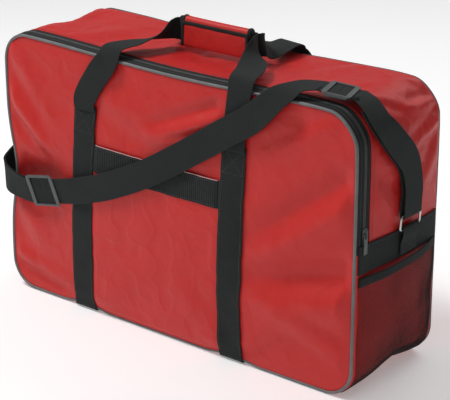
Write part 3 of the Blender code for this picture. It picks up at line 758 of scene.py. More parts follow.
    def crumple(self, a: Array, b: Array) -> Array:
        """Small creases: the sharp crests of a sum of slow waves, about a millimetre high."""
        turns = a[..., None] * self.ripple[:, 0] + b[..., None] * self.ripple[:, 1] + self.ripple[:, 2]
        total = np.sin(turns).sum(-1) / math.sqrt(len(self.ripple))
        return 0.0007 * np.exp(-3.0 * np.abs(total)) + 0.0004 * total

    def soften(self, points: Array) -> Array:
        """Lets the top sag, lifts the base edge, draws the left end in and presses the right corner in.

        The sag is a squared cosine along the top times the cube of the height. The lift is a flat bell round
        each webbing times the sixth power of the distance down. The draw, by the strap, is a bell in height
        and in depth. The press is a bell round the corner.
        """
        x, y, z = np.moveaxis(points, -1, 0)
        reach = np.cos(math.pi / 2 * np.minimum(1.0, np.abs(x) / self.flat))
        up = np.clip(z / self.height, 0, 1)
        lift = sum(np.exp(-(((x - foot) / self.rise_reach) ** 4)) for foot in self.web_foot)
        side = np.clip((-x - 0.22) / 0.172, 0, 1.05) ** 2
        draw = np.exp(-(((z - 0.238) / 0.070) ** 2)) * np.exp(-(((y + self.depth / 2) / 0.050) ** 2))
        off_x, off_z = (x - self.pressed[0]) / self.press_reach, (z - self.pressed[1]) / self.press_reach
        corner = self.press * np.exp(-(off_x**2) - off_z**2)
        sunk = self.top_sag * reach**2 * up**3
        moved_z = z - sunk + self.rise * lift * (1 - up) ** 6 - corner
        return np.stack([x + self.waist * side * draw - corner, y, moved_z], -1)

    def crown(self, s: Array, y: Array) -> Array:
        """How far the gusset stands out behind the zip: a parabola across it, on the ends only."""
        t = np.abs(self.wrap(s))
        rise = np.clip((t - self.flat + self.quarter / 2) / self.quarter, 0, 1)
        fall = np.clip((self.flat + self.quarter * 1.5 + self.end_run - t) / self.quarter, 0, 1)
        back = self.depth / 2
        off = (2 * y - self.zip_rear - back) / (back - self.zip_rear)
        return self.end_crown * rise * fall * np.maximum(0, 1 - off**2)

    def gusset_wrinkle(self, s: Array, y: Array) -> Array:
        """Folds and creases of the gusset, none at the zip, at the seams, or round the end bands."""
        wrapped = self.wrap(s)
        high = self.height - self.corner - (np.abs(wrapped) - self.flat - self.quarter)
        inside = smooth(y, self.zip_rear, self.zip_rear + 0.03) * smooth(-y, -0.1165, -0.104)
        clear = smooth(high, 0.285, 0.33) + 0.35 * smooth(-high, -0.19, -0.14)
        total = sum(fold.height_at(wrapped, y) for fold in self.gusset_folds)
        fine = (1.4 * total + 1.6 * self.crumple(wrapped, y)) * inside * np.clip(clear, 0, 1)
        return fine + sum(dent.height_at(wrapped, y) for dent in self.dents)

    def gusset(self, s: Any, y: Any, lift: Any = 0.0) -> Array:
        """Points on the band round the bag, lift metres off its outer face."""
        s, y = np.broadcast_arrays(np.asarray(s, float), np.asarray(y, float))
        x, z, nx, nz = self.outline(s)
        out = self.crown(s, y) + self.gusset_wrinkle(s, y) + lift
        return self.soften(np.stack([x + nx * out, y, z + nz * out], -1))

    def panel_wrinkle(self, facing: int, x: Array, z: Array) -> Array:
        """Folds and creases of the front or back panel, none at its seam."""
        folds = self.front_folds if facing < 0 else self.back_folds
        far = np.minimum(self.width / 2 - np.abs(x), np.minimum(z, self.height - z))
        total = sum(fold.height_at(x, z) for fold in folds)
        if facing < 0:
            strap = z - 0.226 - 0.12 * (x + 0.30)
            total = total - self.strap_dent * np.exp(-((strap / 0.042) ** 2)) * smooth(-x, 0.215, 0.310)
        return (total + 1.3 * self.crumple(x, z)) * smooth(far, 0.004, 0.030)

    def bulge(self, facing: int, x: Array, z: Array) -> Array:
        """How far a panel stands out: a parabola across it times a half sine up it, fuller at the foot."""
        most = self.front_bulge if facing < 0 else self.back_bulge
        up = np.clip(z / self.height, 0, 1)
        return most * np.clip(1 - (2 * x / self.width) ** 2, 0, 1) * np.maximum(0, np.sin(math.pi * up**0.7))

    def panel(self, facing: int, x: Any, z: Any, lift: Any = 0.0) -> Array:
        """Points on the front (facing -1) or back (facing 1) panel, lift metres off its outer face."""
        x, z = np.broadcast_arrays(np.asarray(x, float), np.asarray(z, float))
        out = self.depth / 2 + self.bulge(facing, x, z) + self.panel_wrinkle(facing, x, z) + lift
        return self.soften(np.stack([x, facing * out, z], -1))

    def rounded(self, u: Array, v: Array, inset: float) -> tuple[Array, Array]:
        """Maps the square to the side outline: each ring's edge is pulled onto the rounded corners."""
        far, high, radius = self.width / 2 - inset, self.height / 2 - inset, self.corner - inset
        reach = np.maximum(np.maximum(np.abs(u), np.abs(v)), 1e-9)
        edge_x, edge_z = u * far / reach, v * high / reach
        core_x = np.clip(edge_x, radius - far, far - radius)
        core_z = np.clip(edge_z, radius - high, high - radius)
        away = np.maximum(np.hypot(edge_x - core_x, edge_z - core_z), 1e-9)
        pull = reach**4
        x = u * far + (core_x + (edge_x - core_x) / away * radius - edge_x) * pull
        z = v * high + (core_z + (edge_z - core_z) / away * radius - edge_z) * pull
        return x, z + self.height / 2

    def web_x(self, side: Side, z: Any) -> Array:
        """The middle of a haul webbing at height z."""
        which = 0 if side is Side.LEFT else 1
        share = np.clip(np.asarray(z, float), 0, self.sewn_top) / self.sewn_top
        return self.web_foot[which] + (self.web_top[which] - self.web_foot[which]) * share

    def web_lift(self, z: Any) -> Array:
        """Webbing's outer face over the cloth: a little more where it turns round the piping."""
        return 0.0034 + 0.0012 * (1 - smooth(z, 0.003, 0.02))


def sweep(middle: Array, side: Array, up: Array, power: float = 2.0, sides: int = 16) -> Array:
    """A section carried along a line.

    The section is a superellipse: the signed cosine and sine of the turn, each to the power 2 / power,
    times the side and up vectors. Power 2 is round, and more is squarer.

    Args:
        middle: The line's points.
        side: Half the section's width as a vector, for each point or for all.
        up: Half its height as a vector. The line's direction crossed with up points to the side.
        power: How square it is.
        sides: Points round the section.

    Returns:
        Rows along the line by points round the section.
    """
    turn = np.linspace(0, 2 * math.pi, sides, endpoint=False) + math.pi / sides
    c = np.sign(np.cos(turn)) * np.abs(np.cos(turn)) ** (2 / power)
    d = np.sign(np.sin(turn)) * np.abs(np.sin(turn)) ** (2 / power)
    side, up = np.broadcast_to(side, middle.shape), np.broadcast_to(up, middle.shape)
    return middle[:, None] + c[:, None] * side[:, None] + d[:, None] * up[:, None]


def round_measures(middle: Array, sides: int, girth: float) -> Array:
    """Measures for a swept piece: round it and along it."""
    around = np.linspace(0, girth, sides, endpoint=False)
    return np.stack(np.broadcast_arrays(around[None, :], lengths(middle)[:, None]), -1)


def dress(finish: Finish, *nodes: str) -> None:
    """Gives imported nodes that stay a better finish."""
    for node in nodes:
        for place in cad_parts[node].material_slots:
            place.material = finish.material
        LOG.info("dressed %s", node)


# ---------------------------------------------------------------- sub-assemblies


@dataclass
class Shell:
    """The cloth: front and back panels, the band over the top and ends, and the band under the base."""

    form: BagForm
    cloth: float = 0.0013
    inset: float = 0.0048
    seam: float = 0.1168
    zip_end: float = 0.262

    def build(self) -> None:
        """Builds the four cloths."""
        for facing, name in ((-1, "front_panel"), (1, "back_panel")):
            self.side(facing, name)
        end = float(self.form.station(self.zip_end))
        self.band("upper_gusset", np.linspace(-end, end, 620), self.form.zip_rear - 0.0012, 76)
        around = np.linspace(end, 2 * self.form.half_round - end, 560)
        self.band("lower_gusset", around, -self.seam, 84)

    def side(self, facing: int, name: str) -> None:
        """A panel as a grid mapped to the rounded outline, with rows in the order that faces it outwards."""
        u, v = np.meshgrid(np.linspace(facing, -facing, 236), np.linspace(-1, 1, 156), indexing="ij")
        x, z = self.form.rounded(u, v, self.inset)
        piece = surface(
            f"{name}_cloth", self.form.panel(facing, x, z), Finish.CLOTH, np.stack([x, z], -1), self.cloth
        )
        ride(piece, "bag", name)

    def band(self, name: str, s: Array, front: float, count: int) -> None:
        """Part of the band round the bag, turned in at its seams. A fold stands up beside the zip."""
        y = np.linspace(front, self.seam, count)
        stations, depths = np.meshgrid(s, y, indexing="ij")
        lift = -0.0012 * smooth(np.abs(depths), self.seam - 0.003, self.seam)
        if front > -0.1:
            lift = lift + 0.0011 * (1 - smooth(depths, front + 0.001, front + 0.006))
        points = self.form.gusset(stations, depths, lift)
        measures = np.stack([depths, stations], -1)
        # The band takes the darker copy of the cloth: painted shade.
        ride(surface(f"{name}_cloth", points, Finish.END_CLOTH, measures, self.cloth), "bag", name)


@dataclass
class Piping:
    """Covered cord in the seams round the front and back panels."""

    form: BagForm
    radius: float = 0.0028
    inset: float = 0.003

    def build(self) -> None:
        """Each piping is a round section carried along the outline."""
        s = np.linspace(-self.form.half_round, self.form.half_round, 900, endpoint=False)
        x, z, _, _ = self.form.outline(s, self.inset)
        swell = self.radius * (1 + 0.05 * np.sin(s * 71.0) * np.sin(s * 23.0 + 1.0))[:, None]
        side, depth = self.form.outward(s) * swell, np.array([0.0, 1.0, 0.0]) * swell
        # The back piping takes the darker copy: painted shade.
        for facing, place, finish in ((-1, "front", Finish.PIPING), (1, "back", Finish.DARK_PIPING)):
            middle = self.form.soften(np.stack([x, np.full_like(x, facing * self.form.depth / 2), z], -1))
            points = sweep(middle, side, depth, 2.0, 14)
            measures = round_measures(middle, 14, 2 * math.pi * self.radius)
            piece = surface(f"{place}_piping_cord", points, finish, measures, ring=True, loop=True)
            ride(piece, "bag", f"{place}_piping")


@dataclass
class Zip:
    """Two woven tapes, two coils whose teeth mesh, the stops, and the slider with its pull."""

    form: BagForm
    end_height: float = 0.262
    tape: float = 0.0012
    pitch: float = 0.0025
    coil_width: float = 0.0030
    coil_thick: float = 0.0022

    def build(self) -> None:
        """Builds the tapes and coils, and dresses the moulded pieces."""
        end = float(self.form.station(self.end_height))
        for place, low, high in (("front", -0.1160, -0.1020), ("rear", -0.0948, -0.0815)):
            self.strip(place, end, low, high)
        for place, y, phase in (("front", -0.1004, 0.0), ("rear", -0.0966, 0.5)):
            self.coil(place, end, y, phase)
        dress(Finish.PLASTIC, "zip_slider", "zip_pull", "zip_stop_left", "zip_stop_right")

    def strip(self, place: str, end: float, low: float, high: float) -> None:
        """A tape on the form, a little lower at its seam."""
        stations, depths = np.meshgrid(np.linspace(-end, end, 620), np.linspace(low, high, 9), indexing="ij")
        lift = 0.0002 - 0.0010 * smooth(-depths, 0.1130, 0.1160) - 0.0012 * smooth(depths, -0.0838, -0.0825)
        points = self.form.gusset(stations, depths, lift)
        measures = np.stack([depths - (low + high) / 2, stations], -1)
        piece = surface(f"zip_tape_{place}_woven", points, Finish.TAPE, measures, self.tape)
        ride(piece, "bag", f"zip_tape_{place}")

    def coil(self, place: str, end: float, y: float, phase: float) -> None:
        """One coil: an oval section that swells once a pitch, out of step with the other coil."""
        turns = round(2 * end / self.pitch)
        s = np.linspace(-end, end, turns * 6 + 1)
        ridge = np.abs(np.sin(math.pi * (s / self.pitch + phase))) ** 0.7
        middle = self.form.gusset(s, np.full_like(s, y), 0.0004)
        out = self.form.outward(s) * (self.coil_thick / 2 * (0.45 + 0.55 * ridge))[:, None]
        reach = np.array([0.0, 1.0, 0.0]) * (self.coil_width / 2 * (0.80 + 0.25 * ridge))[:, None]
        points = sweep(middle, out, reach, 2.4, 8)
        ride(surface(f"zip_coil_{place}_teeth", points, Finish.COIL, ring=True), "bag", f"zip_coil_{place}")


@dataclass
class HaulWebbing:
    """The two webbings that run up the front, under the base and up the back, and their stitching."""

    form: BagForm
    turn: float = 0.0060
    row: float = 0.0215
    box: float = 0.021
    box_tall: float = 0.045

    def path(self) -> tuple[Array, Array, Array]:
        """Heights down a panel, angles of the turn under its piping, and depths under the base."""
        down = np.concatenate([np.linspace(self.form.sewn_top, 0.03, 96), np.linspace(0.028, 0.003, 10)])
        return down, np.radians(np.linspace(0, 90, 8))[1:], np.linspace(-0.1135, 0.1135, 40)

    def grid(self, side: Side) -> tuple[Array, Array]:
        """The outer face: on the panels, in a quarter circle round each piping, and flat under the base."""
        down, turns, base = self.path()
        across = edged(7)
        wide, half = across * self.form.webbing, self.form.depth / 2
        cup = 0.0004 * (1 - (2 * across) ** 2)
        rows = []
        for facing in (-1, 1):
            z = np.repeat(down[:, None], len(across), 1)
            x = self.form.web_x(side, z) + wide
            face = self.form.panel(facing, x, z, self.form.web_lift(z) + cup)
            angle = np.repeat(turns[:, None], len(across), 1)
            bend_x = self.form.web_x(side, 0.0) + wide + 0 * angle
            out = facing * (half + self.turn * np.cos(angle))
            bend = self.form.soften(np.stack([bend_x, out, 0.003 - self.turn * np.sin(angle)], -1))
            rows.append(np.concatenate([face, bend]))
        flat_x = self.form.web_x(side, 0.0) + wide + 0 * base[:, None]
        flat = np.stack([flat_x, np.repeat(base[:, None], len(across), 1), np.full_like(flat_x, -0.003)], -1)
        points = np.concatenate([rows[0], self.form.soften(flat), rows[1][::-1]])
        along = lengths(points[:, len(across) // 2])
        return points, np.stack(np.broadcast_arrays(wide, along[:, None]), -1)

    def build(self) -> None:
        """Builds both webbings and sews them down."""
        thread = Stitching("haul_stitches")
        for side in Side:
            points, measures = self.grid(side)
            name = f"{side.word}_haul_webbing"
            ride(surface(f"{name}_woven", points, Finish.WEBBING, measures, WEBBING_THICK), "bag", name)
            self.sew(thread, side)
        thread.piece(Finish.BLACK_THREAD, "bag")

    def sew(self, thread: Stitching, side: Side) -> None:
        """Two long rows, and a crossed box at each upper end."""
        high = self.form.sewn_top - 0.004
        low = high - self.box_tall
        a, b, c, d = (-self.box, high), (self.box, high), (self.box, low), (-self.box, low)
        long = [[(off, low - 0.005), (off, 0.012)] for off in (-self.row, self.row)]
        rows = [*long, [a, b, c, d, a], [a, c], [b, d]]
        for facing in (-1, 1):
            for row in rows:
                spots = smooth_line([(*spot, 0.0) for spot in row], 0.004) if len(row) == 2 else corners(row)
                z = spots[:, 1]
                x = self.form.web_x(side, z) + spots[:, 0]
                line = self.form.panel(facing, x, z, self.form.web_lift(z) + 0.0002)
                thread.sew(line, (0, facing, 0))


@dataclass
class Handle:
    """Four free lengths of webbing that meet in a padded wrap, and the wrap's flap."""

    form: BagForm
    x: float = 0.008
    y: float = 0.006
    z: float = 0.531
    length: float = 0.155
    half_height: float = 0.0255
    half_thick: float = 0.0095
    layer: float = 0.0022
    leg_width: float = 0.048
    run_height: float = 0.042
    girth: float = 0.118
    edges: tuple[tuple[float, float], ...] = ((-0.1335, 0.160), (-0.100, 0.088))

    def leg_line(self, side: int, facing: int) -> Array:
        """A leg's middle line: off the panel, over the top's edge and into the grip's end."""
        end = Side.LEFT if side < 0 else Side.RIGHT
        foot_x = float(self.form.web_x(end, self.form.sewn_top))
        edge_x = self.edges[facing > 0][side > 0]
        foot = self.form.panel(facing, foot_x, self.form.sewn_top - 0.008, 0.0052)
        straight = self.form.panel(facing, foot_x * 0.99 + edge_x * 0.01, 0.414, 0.0058)
        mid_x = foot_x * 0.5 + edge_x * 0.5
        middle = self.form.panel(facing, mid_x, 0.455, 0.0060)
        grip_end = self.x + side * (self.length / 2 + 0.009)
        near_x = grip_end + side * 0.006
        layer = self.y + facing * self.layer
        wide = self.leg_width

        def between(share: float) -> float:
            """An x this share of the way from the top's edge to the grip."""
            return edge_x * (1 - share) + near_x * share

        lean = facing * side
        rows = [
            (*foot, -1, 0, 0, wide),
            (*straight, -1, 0, 0, wide),
            (mid_x, middle[1], 0.455, -1, 0, 0, wide),
            (edge_x, facing * 0.1262, 0.490, -1, 0, 0, wide),
            (between(0.07), facing * 0.1120, 0.512, -1, 0.12 * lean, 0, wide),
            (between(0.35), facing * 0.0700, 0.5155, -1, 0.4 * lean, 0.1 * side, wide),
            (between(0.70), facing * 0.0320, 0.5205, -0.8, 0.6 * lean, 0.5 * side, 0.045),
            (near_x, layer + facing * 0.008, 0.5305, -0.3, 0, side, 0.041),
            (grip_end, layer, self.z, 0, 0, side, 0.040),
            (grip_end - side * 0.02, layer, self.z, 0, 0, side, 0.040),
        ]
        line = np.asarray(rows, float)
        line[:, 3:6] *= -facing
        return line

    def build(self) -> None:
        """Builds the legs, the runs, the wrap and the flap."""
        for side in (-1, 1):
            for facing in (-1, 1):
                self.leg(side, facing)
        for facing, place in ((-1, "front"), (1, "back")):
            self.run(facing, place)
        self.wrap()
        self.flap()

    def leg(self, side: int, facing: int) -> None:
        """Bends between the bag and the lifted handle."""
        name = f"{'front' if facing < 0 else 'back'}_{'left' if side < 0 else 'right'}_leg"
        piece = woven(name, self.leg_line(side, facing), 0.003, WEBBING_CUP, 7)
        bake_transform(piece)
        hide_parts(name)

    def run(self, facing: int, place: str) -> None:
        """The webbing through the wrap."""
        half = self.length / 2 + 0.007
        ends = [
            (self.x + k * half, self.y + facing * self.layer, self.z, 0, 0, -facing, self.run_height)
            for k in (-1, -0.5, 0, 0.5, 1)
        ]
        name = f"grip_run_{place}"
        ride(woven(name, ends, 0.01), "handle", name)

    def section(self, x: Array) -> Array:
        """The wrap's closed section: a tall superellipse, fuller in the middle and with shallow creases."""
        off = (x - self.x) / (self.length / 2)
        round_end = np.sqrt(1 - 0.72 * np.clip((np.abs(off) - 0.93) / 0.07, 0, 1) ** 2)
        crease = 1 + 0.025 * np.sin(x * 190.0) * np.sin(x * 83.0 + 0.7)
        middle = np.stack([x, np.full_like(x, self.y), np.full_like(x, self.z)], -1)
        thick = self.half_thick * (0.94 + 0.06 * (1 - off**2)) * round_end * crease
        high = self.half_height * (0.97 + 0.03 * off**2) * (0.55 + 0.45 * round_end)
        side = np.array([0.0, -1.0, 0.0]) * thick[:, None]
        up = np.array([0.0, 0.0, 1.0]) * high[:, None]
        return sweep(middle, side, up, 3.0, 48)

    def wrap(self) -> None:
        """The padded sleeve and the bindings at its ends."""
        x = np.linspace(self.x - self.length / 2, self.x + self.length / 2, 90)
        points = self.section(x)
        measures = round_measures(x[:, None] * np.array([1.0, 0.0, 0.0]), 48, self.girth)
        piece = surface("grip_wrap_pad", points, Finish.CLOTH, measures, ring=True)
        ride(piece, "handle", "grip_wrap")
        inwards = np.array([0.0, 0.0006, 0.0020, 0.0050, 0.0078, 0.0086])
        grow = np.array([1.00, 1.05, 1.07, 1.07, 1.05, 1.00]) + 0.004
        for side in Side:
            ring = self.section(np.sort(self.x + side.value * (self.length / 2 - inwards)))
            centre = ring.mean(1, keepdims=True)
            ring = centre + (ring - centre) * grow[:, None, None]
            measures = round_measures(centre[:, 0], 48, self.girth)
            ride(surface(f"grip_binding_{side.word}", ring, Finish.TAPE, measures, ring=True), "handle")

    def flap(self) -> None:
        """The closing flap, slightly quilted, with a folded binding round three of its edges."""
        half, tall = self.length / 2 - 0.006, 0.0405
        hinge_y, foot = self.y - self.half_thick - 0.0018, self.z - self.half_height + 0.0004
        x, z = np.meshgrid(np.linspace(-half, half, 80), np.linspace(0, tall, 30), indexing="ij")
        puff = np.clip(1 - (x / half) ** 8, 0, 1) * np.clip(1 - (2 * z / tall - 1) ** 6, 0, 1)
        y = hinge_y - 0.0010 * puff - 0.0003 * np.sin(x * 160.0) * np.sin(z * 120.0 + 1.0)
        points = np.stack([self.x + x, y, foot + z], -1)
        piece = surface("grip_flap_cloth", points, Finish.CLOTH, np.stack([x, z], -1), 0.0020)
        ride(piece, "grip_flap", "grip_flap")
        bevel = 0.003
        turns = [(-half, 0.0), (-half, tall - bevel), (-half + bevel, tall)]
        edge = corners([*turns, *[(-a, b) for a, b in turns[::-1]]], 0.004)
        middle = np.stack([self.x + edge[:, 0], np.full(len(edge), hinge_y + 0.0004), foot + edge[:, 1]], -1)
        along = unit(np.gradient(middle, axis=0))
        depth = np.array([0.0, 1.0, 0.0])
        points = sweep(middle, np.cross(along, depth) * 0.0034, depth * 0.0019, 3.0, 12)
        measures = round_measures(middle, 12, 0.016)
        ride(surface("grip_flap_binding", points, Finish.TAPE, measures, ring=True), "grip_flap")


@dataclass
class FrontPocket:
    """The flat pocket between the haul webbings, with a ribbed band at its mouth."""

    form: BagForm
    top: float = 0.333
    foot: float = 0.012
    band: float = 0.050
    tuck: float = 0.0225

    def grid(self, heights: Array, lift: float, side_lift: float) -> tuple[Array, Array]:
        """Rows between the webbings, lower near them, so that their edges cover the pocket's."""
        share = edged(110, 0.006) + 0.5
        t, z = np.meshgrid(share, heights, indexing="ij")
        low = self.form.web_x(Side.LEFT, z) + self.tuck
        high = self.form.web_x(Side.RIGHT, z) - self.tuck
        x = low + (high - low) * t
        near = np.minimum(x - low, high - x)
        return x, self.form.panel(-1, x, z, side_lift + (lift - side_lift) * smooth(near, 0.001, 0.012))

    def build(self) -> None:
        """Builds the pocket, its band and its stitches."""
        heights = np.linspace(self.foot, self.top - 0.002, 120)
        x, points = self.grid(heights, 0.0027, 0.0016)
        measures = np.stack([x, heights[None] + 0 * x], -1)
        piece = surface("front_pocket_cloth", points, Finish.CLOTH, measures, 0.0010)
        ride(piece, "bag", "front_pocket_panel")
        heights = np.linspace(self.top - self.band, self.top, 24)
        x, points = self.grid(heights, 0.0046, 0.0018)
        measures = np.stack([heights[None] - self.top + self.band / 2 + 0 * x, x], -1)
        band = surface("front_pocket_band_woven", points, Finish.RIBBED, measures, WEBBING_THICK)
        ride(band, "bag", "front_pocket_band")
        self.edge()
        thread = Stitching("pocket_stitches")
        for height in (self.top - 0.0035, self.top - self.band + 0.0035):
            x, points = self.grid(np.array([height, height + NUDGE]), 0.0048, 0.0018)
            thread.sew(points[4:-4, 0], (0, -1, 0))
        thread.piece(Finish.BLACK_THREAD, "bag")

    def edge(self) -> None:
        """A thin pale cord along the mouth."""
        x, points = self.grid(np.array([self.top + 0.0003, self.top + 0.0004]), 0.0044, 0.0018)
        middle = points[3:-3, 0]
        along = unit(np.gradient(middle, axis=0))
        out = np.array([0.0, -1.0, 0.0])
        tube = sweep(middle, np.cross(along, out) * 0.0008, out * 0.0008, 2.0, 8)
        ride(surface("front_pocket_edge", tube, Finish.PALE_THREAD, ring=True), "bag")


@dataclass
class EndPockets:
    """On each end: the band, the net pocket under it, and the hem at its mouth."""

    form: BagForm
    reach: float = 0.1105
    band_out: float = 0.0031
    pouch_most: float = 0.010
    foot: float = 0.010
    mouth_low: float = 0.220
    mouth_rise: float = 0.010
    hem: float = 0.016
    cell_wide: float = 0.0050
    cell_tall: float = 0.0054
    cord: float = 0.00085
    wide: float = 0.1085

    def pouch(self, y: Array, z: Array) -> Array:
        """How far the net stands off: a quartic across it, and a smooth rise from its foot."""
        across = np.clip(1 - (y / self.wide) ** 4, 0, 1)
        return self.pouch_most * across * smooth(z, self.foot, self.foot + 0.09)

    def mouth(self, y: Array) -> Array:
        """The mouth's height, lower towards the front."""
        return self.mouth_low + self.mouth_rise * (y + self.wide) / (2 * self.wide)

    def grid(self, side: Side, s: Array, y: Array, lift: Array) -> Array:
        """Points on an end, s metres from the top's middle, with rows in the order that faces outwards."""
        return self.form.gusset(side.value * s, y, lift)[:: side.value]

    def build(self) -> None:
        """Builds both ends."""
        thread = Stitching("end_stitches")
        for side in Side:
            self.band(side, thread)
            self.net(side)
            self.hem_strip(side)
        thread.piece(Finish.BLACK_THREAD, "bag")

    def band(self, side: Side, thread: Stitching) -> None:
        """Webbing across the end with a row of stitches near each edge."""
        middle, half = self.form.band_middle, self.form.webbing / 2
        offset, y = np.meshgrid(edged(9) * self.form.webbing, np.linspace(-0.1125, 0.1125, 90), indexing="ij")
        s = self.form.station(middle) + offset
        lift = self.band_out + WEBBING_CUP * (1 - (offset / half) ** 2)
        lift = lift - 0.0016 * smooth(np.abs(y), 0.108, 0.1125)
        points = self.grid(side, s, y, lift)
        measures = np.stack([offset, y], -1)[:: side.value]
        name = f"{side.word}_end_band"
        ride(surface(f"{name}_woven", points, Finish.WEBBING, measures, WEBBING_THICK), "bag", name)
        depths = np.linspace(-0.109, 0.109, 60)
        for off in (-0.0215, 0.0215):
            place = side.value * (self.form.station(middle) + off)
            thread.sew(self.form.gusset(place, depths, self.band_out + 0.0004), (side.value, 0, 0))

    def net(self, side: Side) -> None:
        """Diamonds of thin cord.

        The lattice has a point at every other crossing of two sets of lines. Each empty crossing is the
        middle of a diamond of its four neighbours, whose edges become the cord.
        """
        low = float(self.form.station(self.form.corner)) + self.form.quarter * 0.72
        high = float(self.form.station(self.mouth_low + self.mouth_rise)) + 0.006
        wide, tall = round(2 * self.reach / self.cell_wide), round((low - high) / self.cell_tall)
        i, j = np.meshgrid(np.arange(2 * tall + 1), np.arange(2 * wide + 1), indexing="ij")
        y = (j / (2 * wide) * 2 - 1) * self.reach
        s = high + (low - high) * i / (2 * tall)
        z = self.form.height - self.form.corner - (s - self.form.flat - self.form.quarter)
        z = np.where(z > self.form.corner, z, self.form.corner - (self.form.corner - z) * 0.7)
        sway = 0.0006 * np.sin(s * 61.0 + y * 37.0) + 0.0005 * np.sin(y * 83.0 - s * 29.0)
        lift = 0.0012 + self.pouch(y, z) + sway * smooth(z, 0.02, 0.10)
        points = self.form.gusset(side.value * s, y + sway, lift)
        keep = (i + j) % 2 == 0
        number = np.cumsum(keep.ravel()).reshape(keep.shape) - 1
        ci, cj = np.nonzero(~keep & (i > 0) & (i < 2 * tall) & (j > 0) & (j < 2 * wide))
        ring = [number[ci - 1, cj], number[ci, cj - 1], number[ci + 1, cj], number[ci, cj + 1]]
        quads = np.stack(ring if side is Side.RIGHT else ring[::-1], -1)
        name = f"{side.word}_mesh_pocket"
        piece = shaped(f"{name}_net", points[keep], quads.tolist(), Finish.NET, soft=False)
        wires = piece.modifiers.new("cords", "WIREFRAME")
        wires.thickness, wires.use_even_offset = self.cord, False
        ride(piece, "bag", name)

    def hem_strip(self, side: Side) -> None:
        """The folded tape at the mouth, rounded over its edges."""
        share, y = np.meshgrid(np.linspace(0, 1, 12), np.linspace(-self.reach, self.reach, 90), indexing="ij")
        z = self.mouth(y) - self.hem * share
        swell = np.sqrt(np.clip(1 - (2 * share - 1) ** 6, 0, 1))
        lift = np.maximum(0.0014 + self.pouch(y, z), self.band_out + 0.0012) + 0.0012 * swell
        lift = lift - 0.0030 * smooth(np.abs(y), 0.106, self.reach)
        points = self.grid(side, self.form.station(z), y, lift)
        measures = np.stack([share * self.hem - self.hem / 2, y], -1)[:: side.value]
        name = f"{side.word}_pocket_hem"
        ride(surface(f"{name}_tape", points, Finish.TAPE, measures, 0.0018), "bag", name)


@dataclass
class Ring:
    """A wire ring, its folded webbing tab, and the ring's place."""

    side: Side
    y: float
    lean: float
    x: float = 0.4076
    height: float = 0.277
    face: float = 0.4033
    wire: float = 0.0022
    half: float = 0.0285
    rise: float = 0.0230
    corner: float = 0.0045
    tab_width: float = 0.046

    def tilt(self, points: Array) -> Array:
        """Turns the ring's plane about its bar and moves it to its place."""
        turn = math.radians(self.side.value * self.lean)
        x, y, z = np.moveaxis(points, -1, 0)
        c, d = math.cos(turn), math.sin(turn)
        place = [self.side.value * self.x, self.y, self.height]
        return np.stack([x * c + z * d, y, z * c - x * d], -1) + place

    def turned(self, vector: Any) -> Array:
        """Directions in the ring's plane as it lies."""
        return self.tilt(np.asarray(vector, float)) - self.tilt(np.zeros(3))

    def build(self) -> None:
        """A rounded rectangle of wire, and the tab over its bar."""
        arc = np.radians(np.linspace(0, 90, 9))
        parts = []
        for turn, (y, z) in enumerate(((1, 0), (1, 1), (-1, 1), (-1, 0))):
            angle = arc + math.radians(90 * (turn - 1))
            middle_z = self.rise * z + self.corner * (1 - 2 * z)
            bend_y = y * (self.half - self.corner) + self.corner * np.cos(angle)
            parts.append(np.stack([0 * angle, bend_y, middle_z + self.corner * np.sin(angle)], -1))
        line = np.concatenate(parts)
        step = unit(np.roll(line, -1, 0) - np.roll(line, 1, 0))
        flat = np.array([1.0, 0.0, 0.0])
        side, up = self.turned(np.cross(step, flat)), self.turned(flat)
        points = sweep(self.tilt(line), side * self.wire, up * self.wire, 2.0, 14)
        name = f"{self.side.word}_ring"
        ride(surface(f"{name}_wire", points, Finish.WIRE, ring=True, loop=True), name, name)
        self.tab()

    def tab(self) -> None:
        """The tab's middle line goes up its outer leaf, over the bar in a half circle and down inside."""
        fold = self.wire + 0.0004 + WEBBING_THICK / 2
        outer = self.face + 0.0028
        turn = np.radians(np.linspace(0, 180, 9))
        leaf = [outer, outer, outer + 0.0006, self.x + fold]
        xs = np.concatenate([leaf, self.x + fold * np.cos(turn), [self.x - fold]])
        drops = np.concatenate([[-0.045, -0.034, -0.025, -0.010], fold * np.sin(turn), [-0.012]])
        sign = self.side.value
        across = (0, -sign, 0, self.tab_width)
        rows = [(sign * x, self.y, self.height + drop, *across) for x, drop in zip(xs, drops)]
        name = f"{self.side.word}_ring_tab"
        ride(woven(name, rows, 0.0016, WEBBING_CUP), "bag", name)
        thread = Stitching(f"{name}_stitches")
        low, high, half = self.height - 0.042, self.height - 0.018, self.tab_width / 2 - 0.004
        box = [(-half, low), (half, low), (half, high), (-half, high), (-half, low), (half, high)]
        spots = corners([*box, (-half, high), (half, low)])
        rise = 0.0016 * smooth(spots[:, 1], low + 0.008, high + 0.004)
        face = sign * (outer + WEBBING_THICK / 2 + 0.0004 + rise)
        thread.sew(np.stack([face, self.y + spots[:, 0], spots[:, 1]], -1), (sign, 0, 0))
        thread.piece(Finish.BLACK_THREAD, "bag")


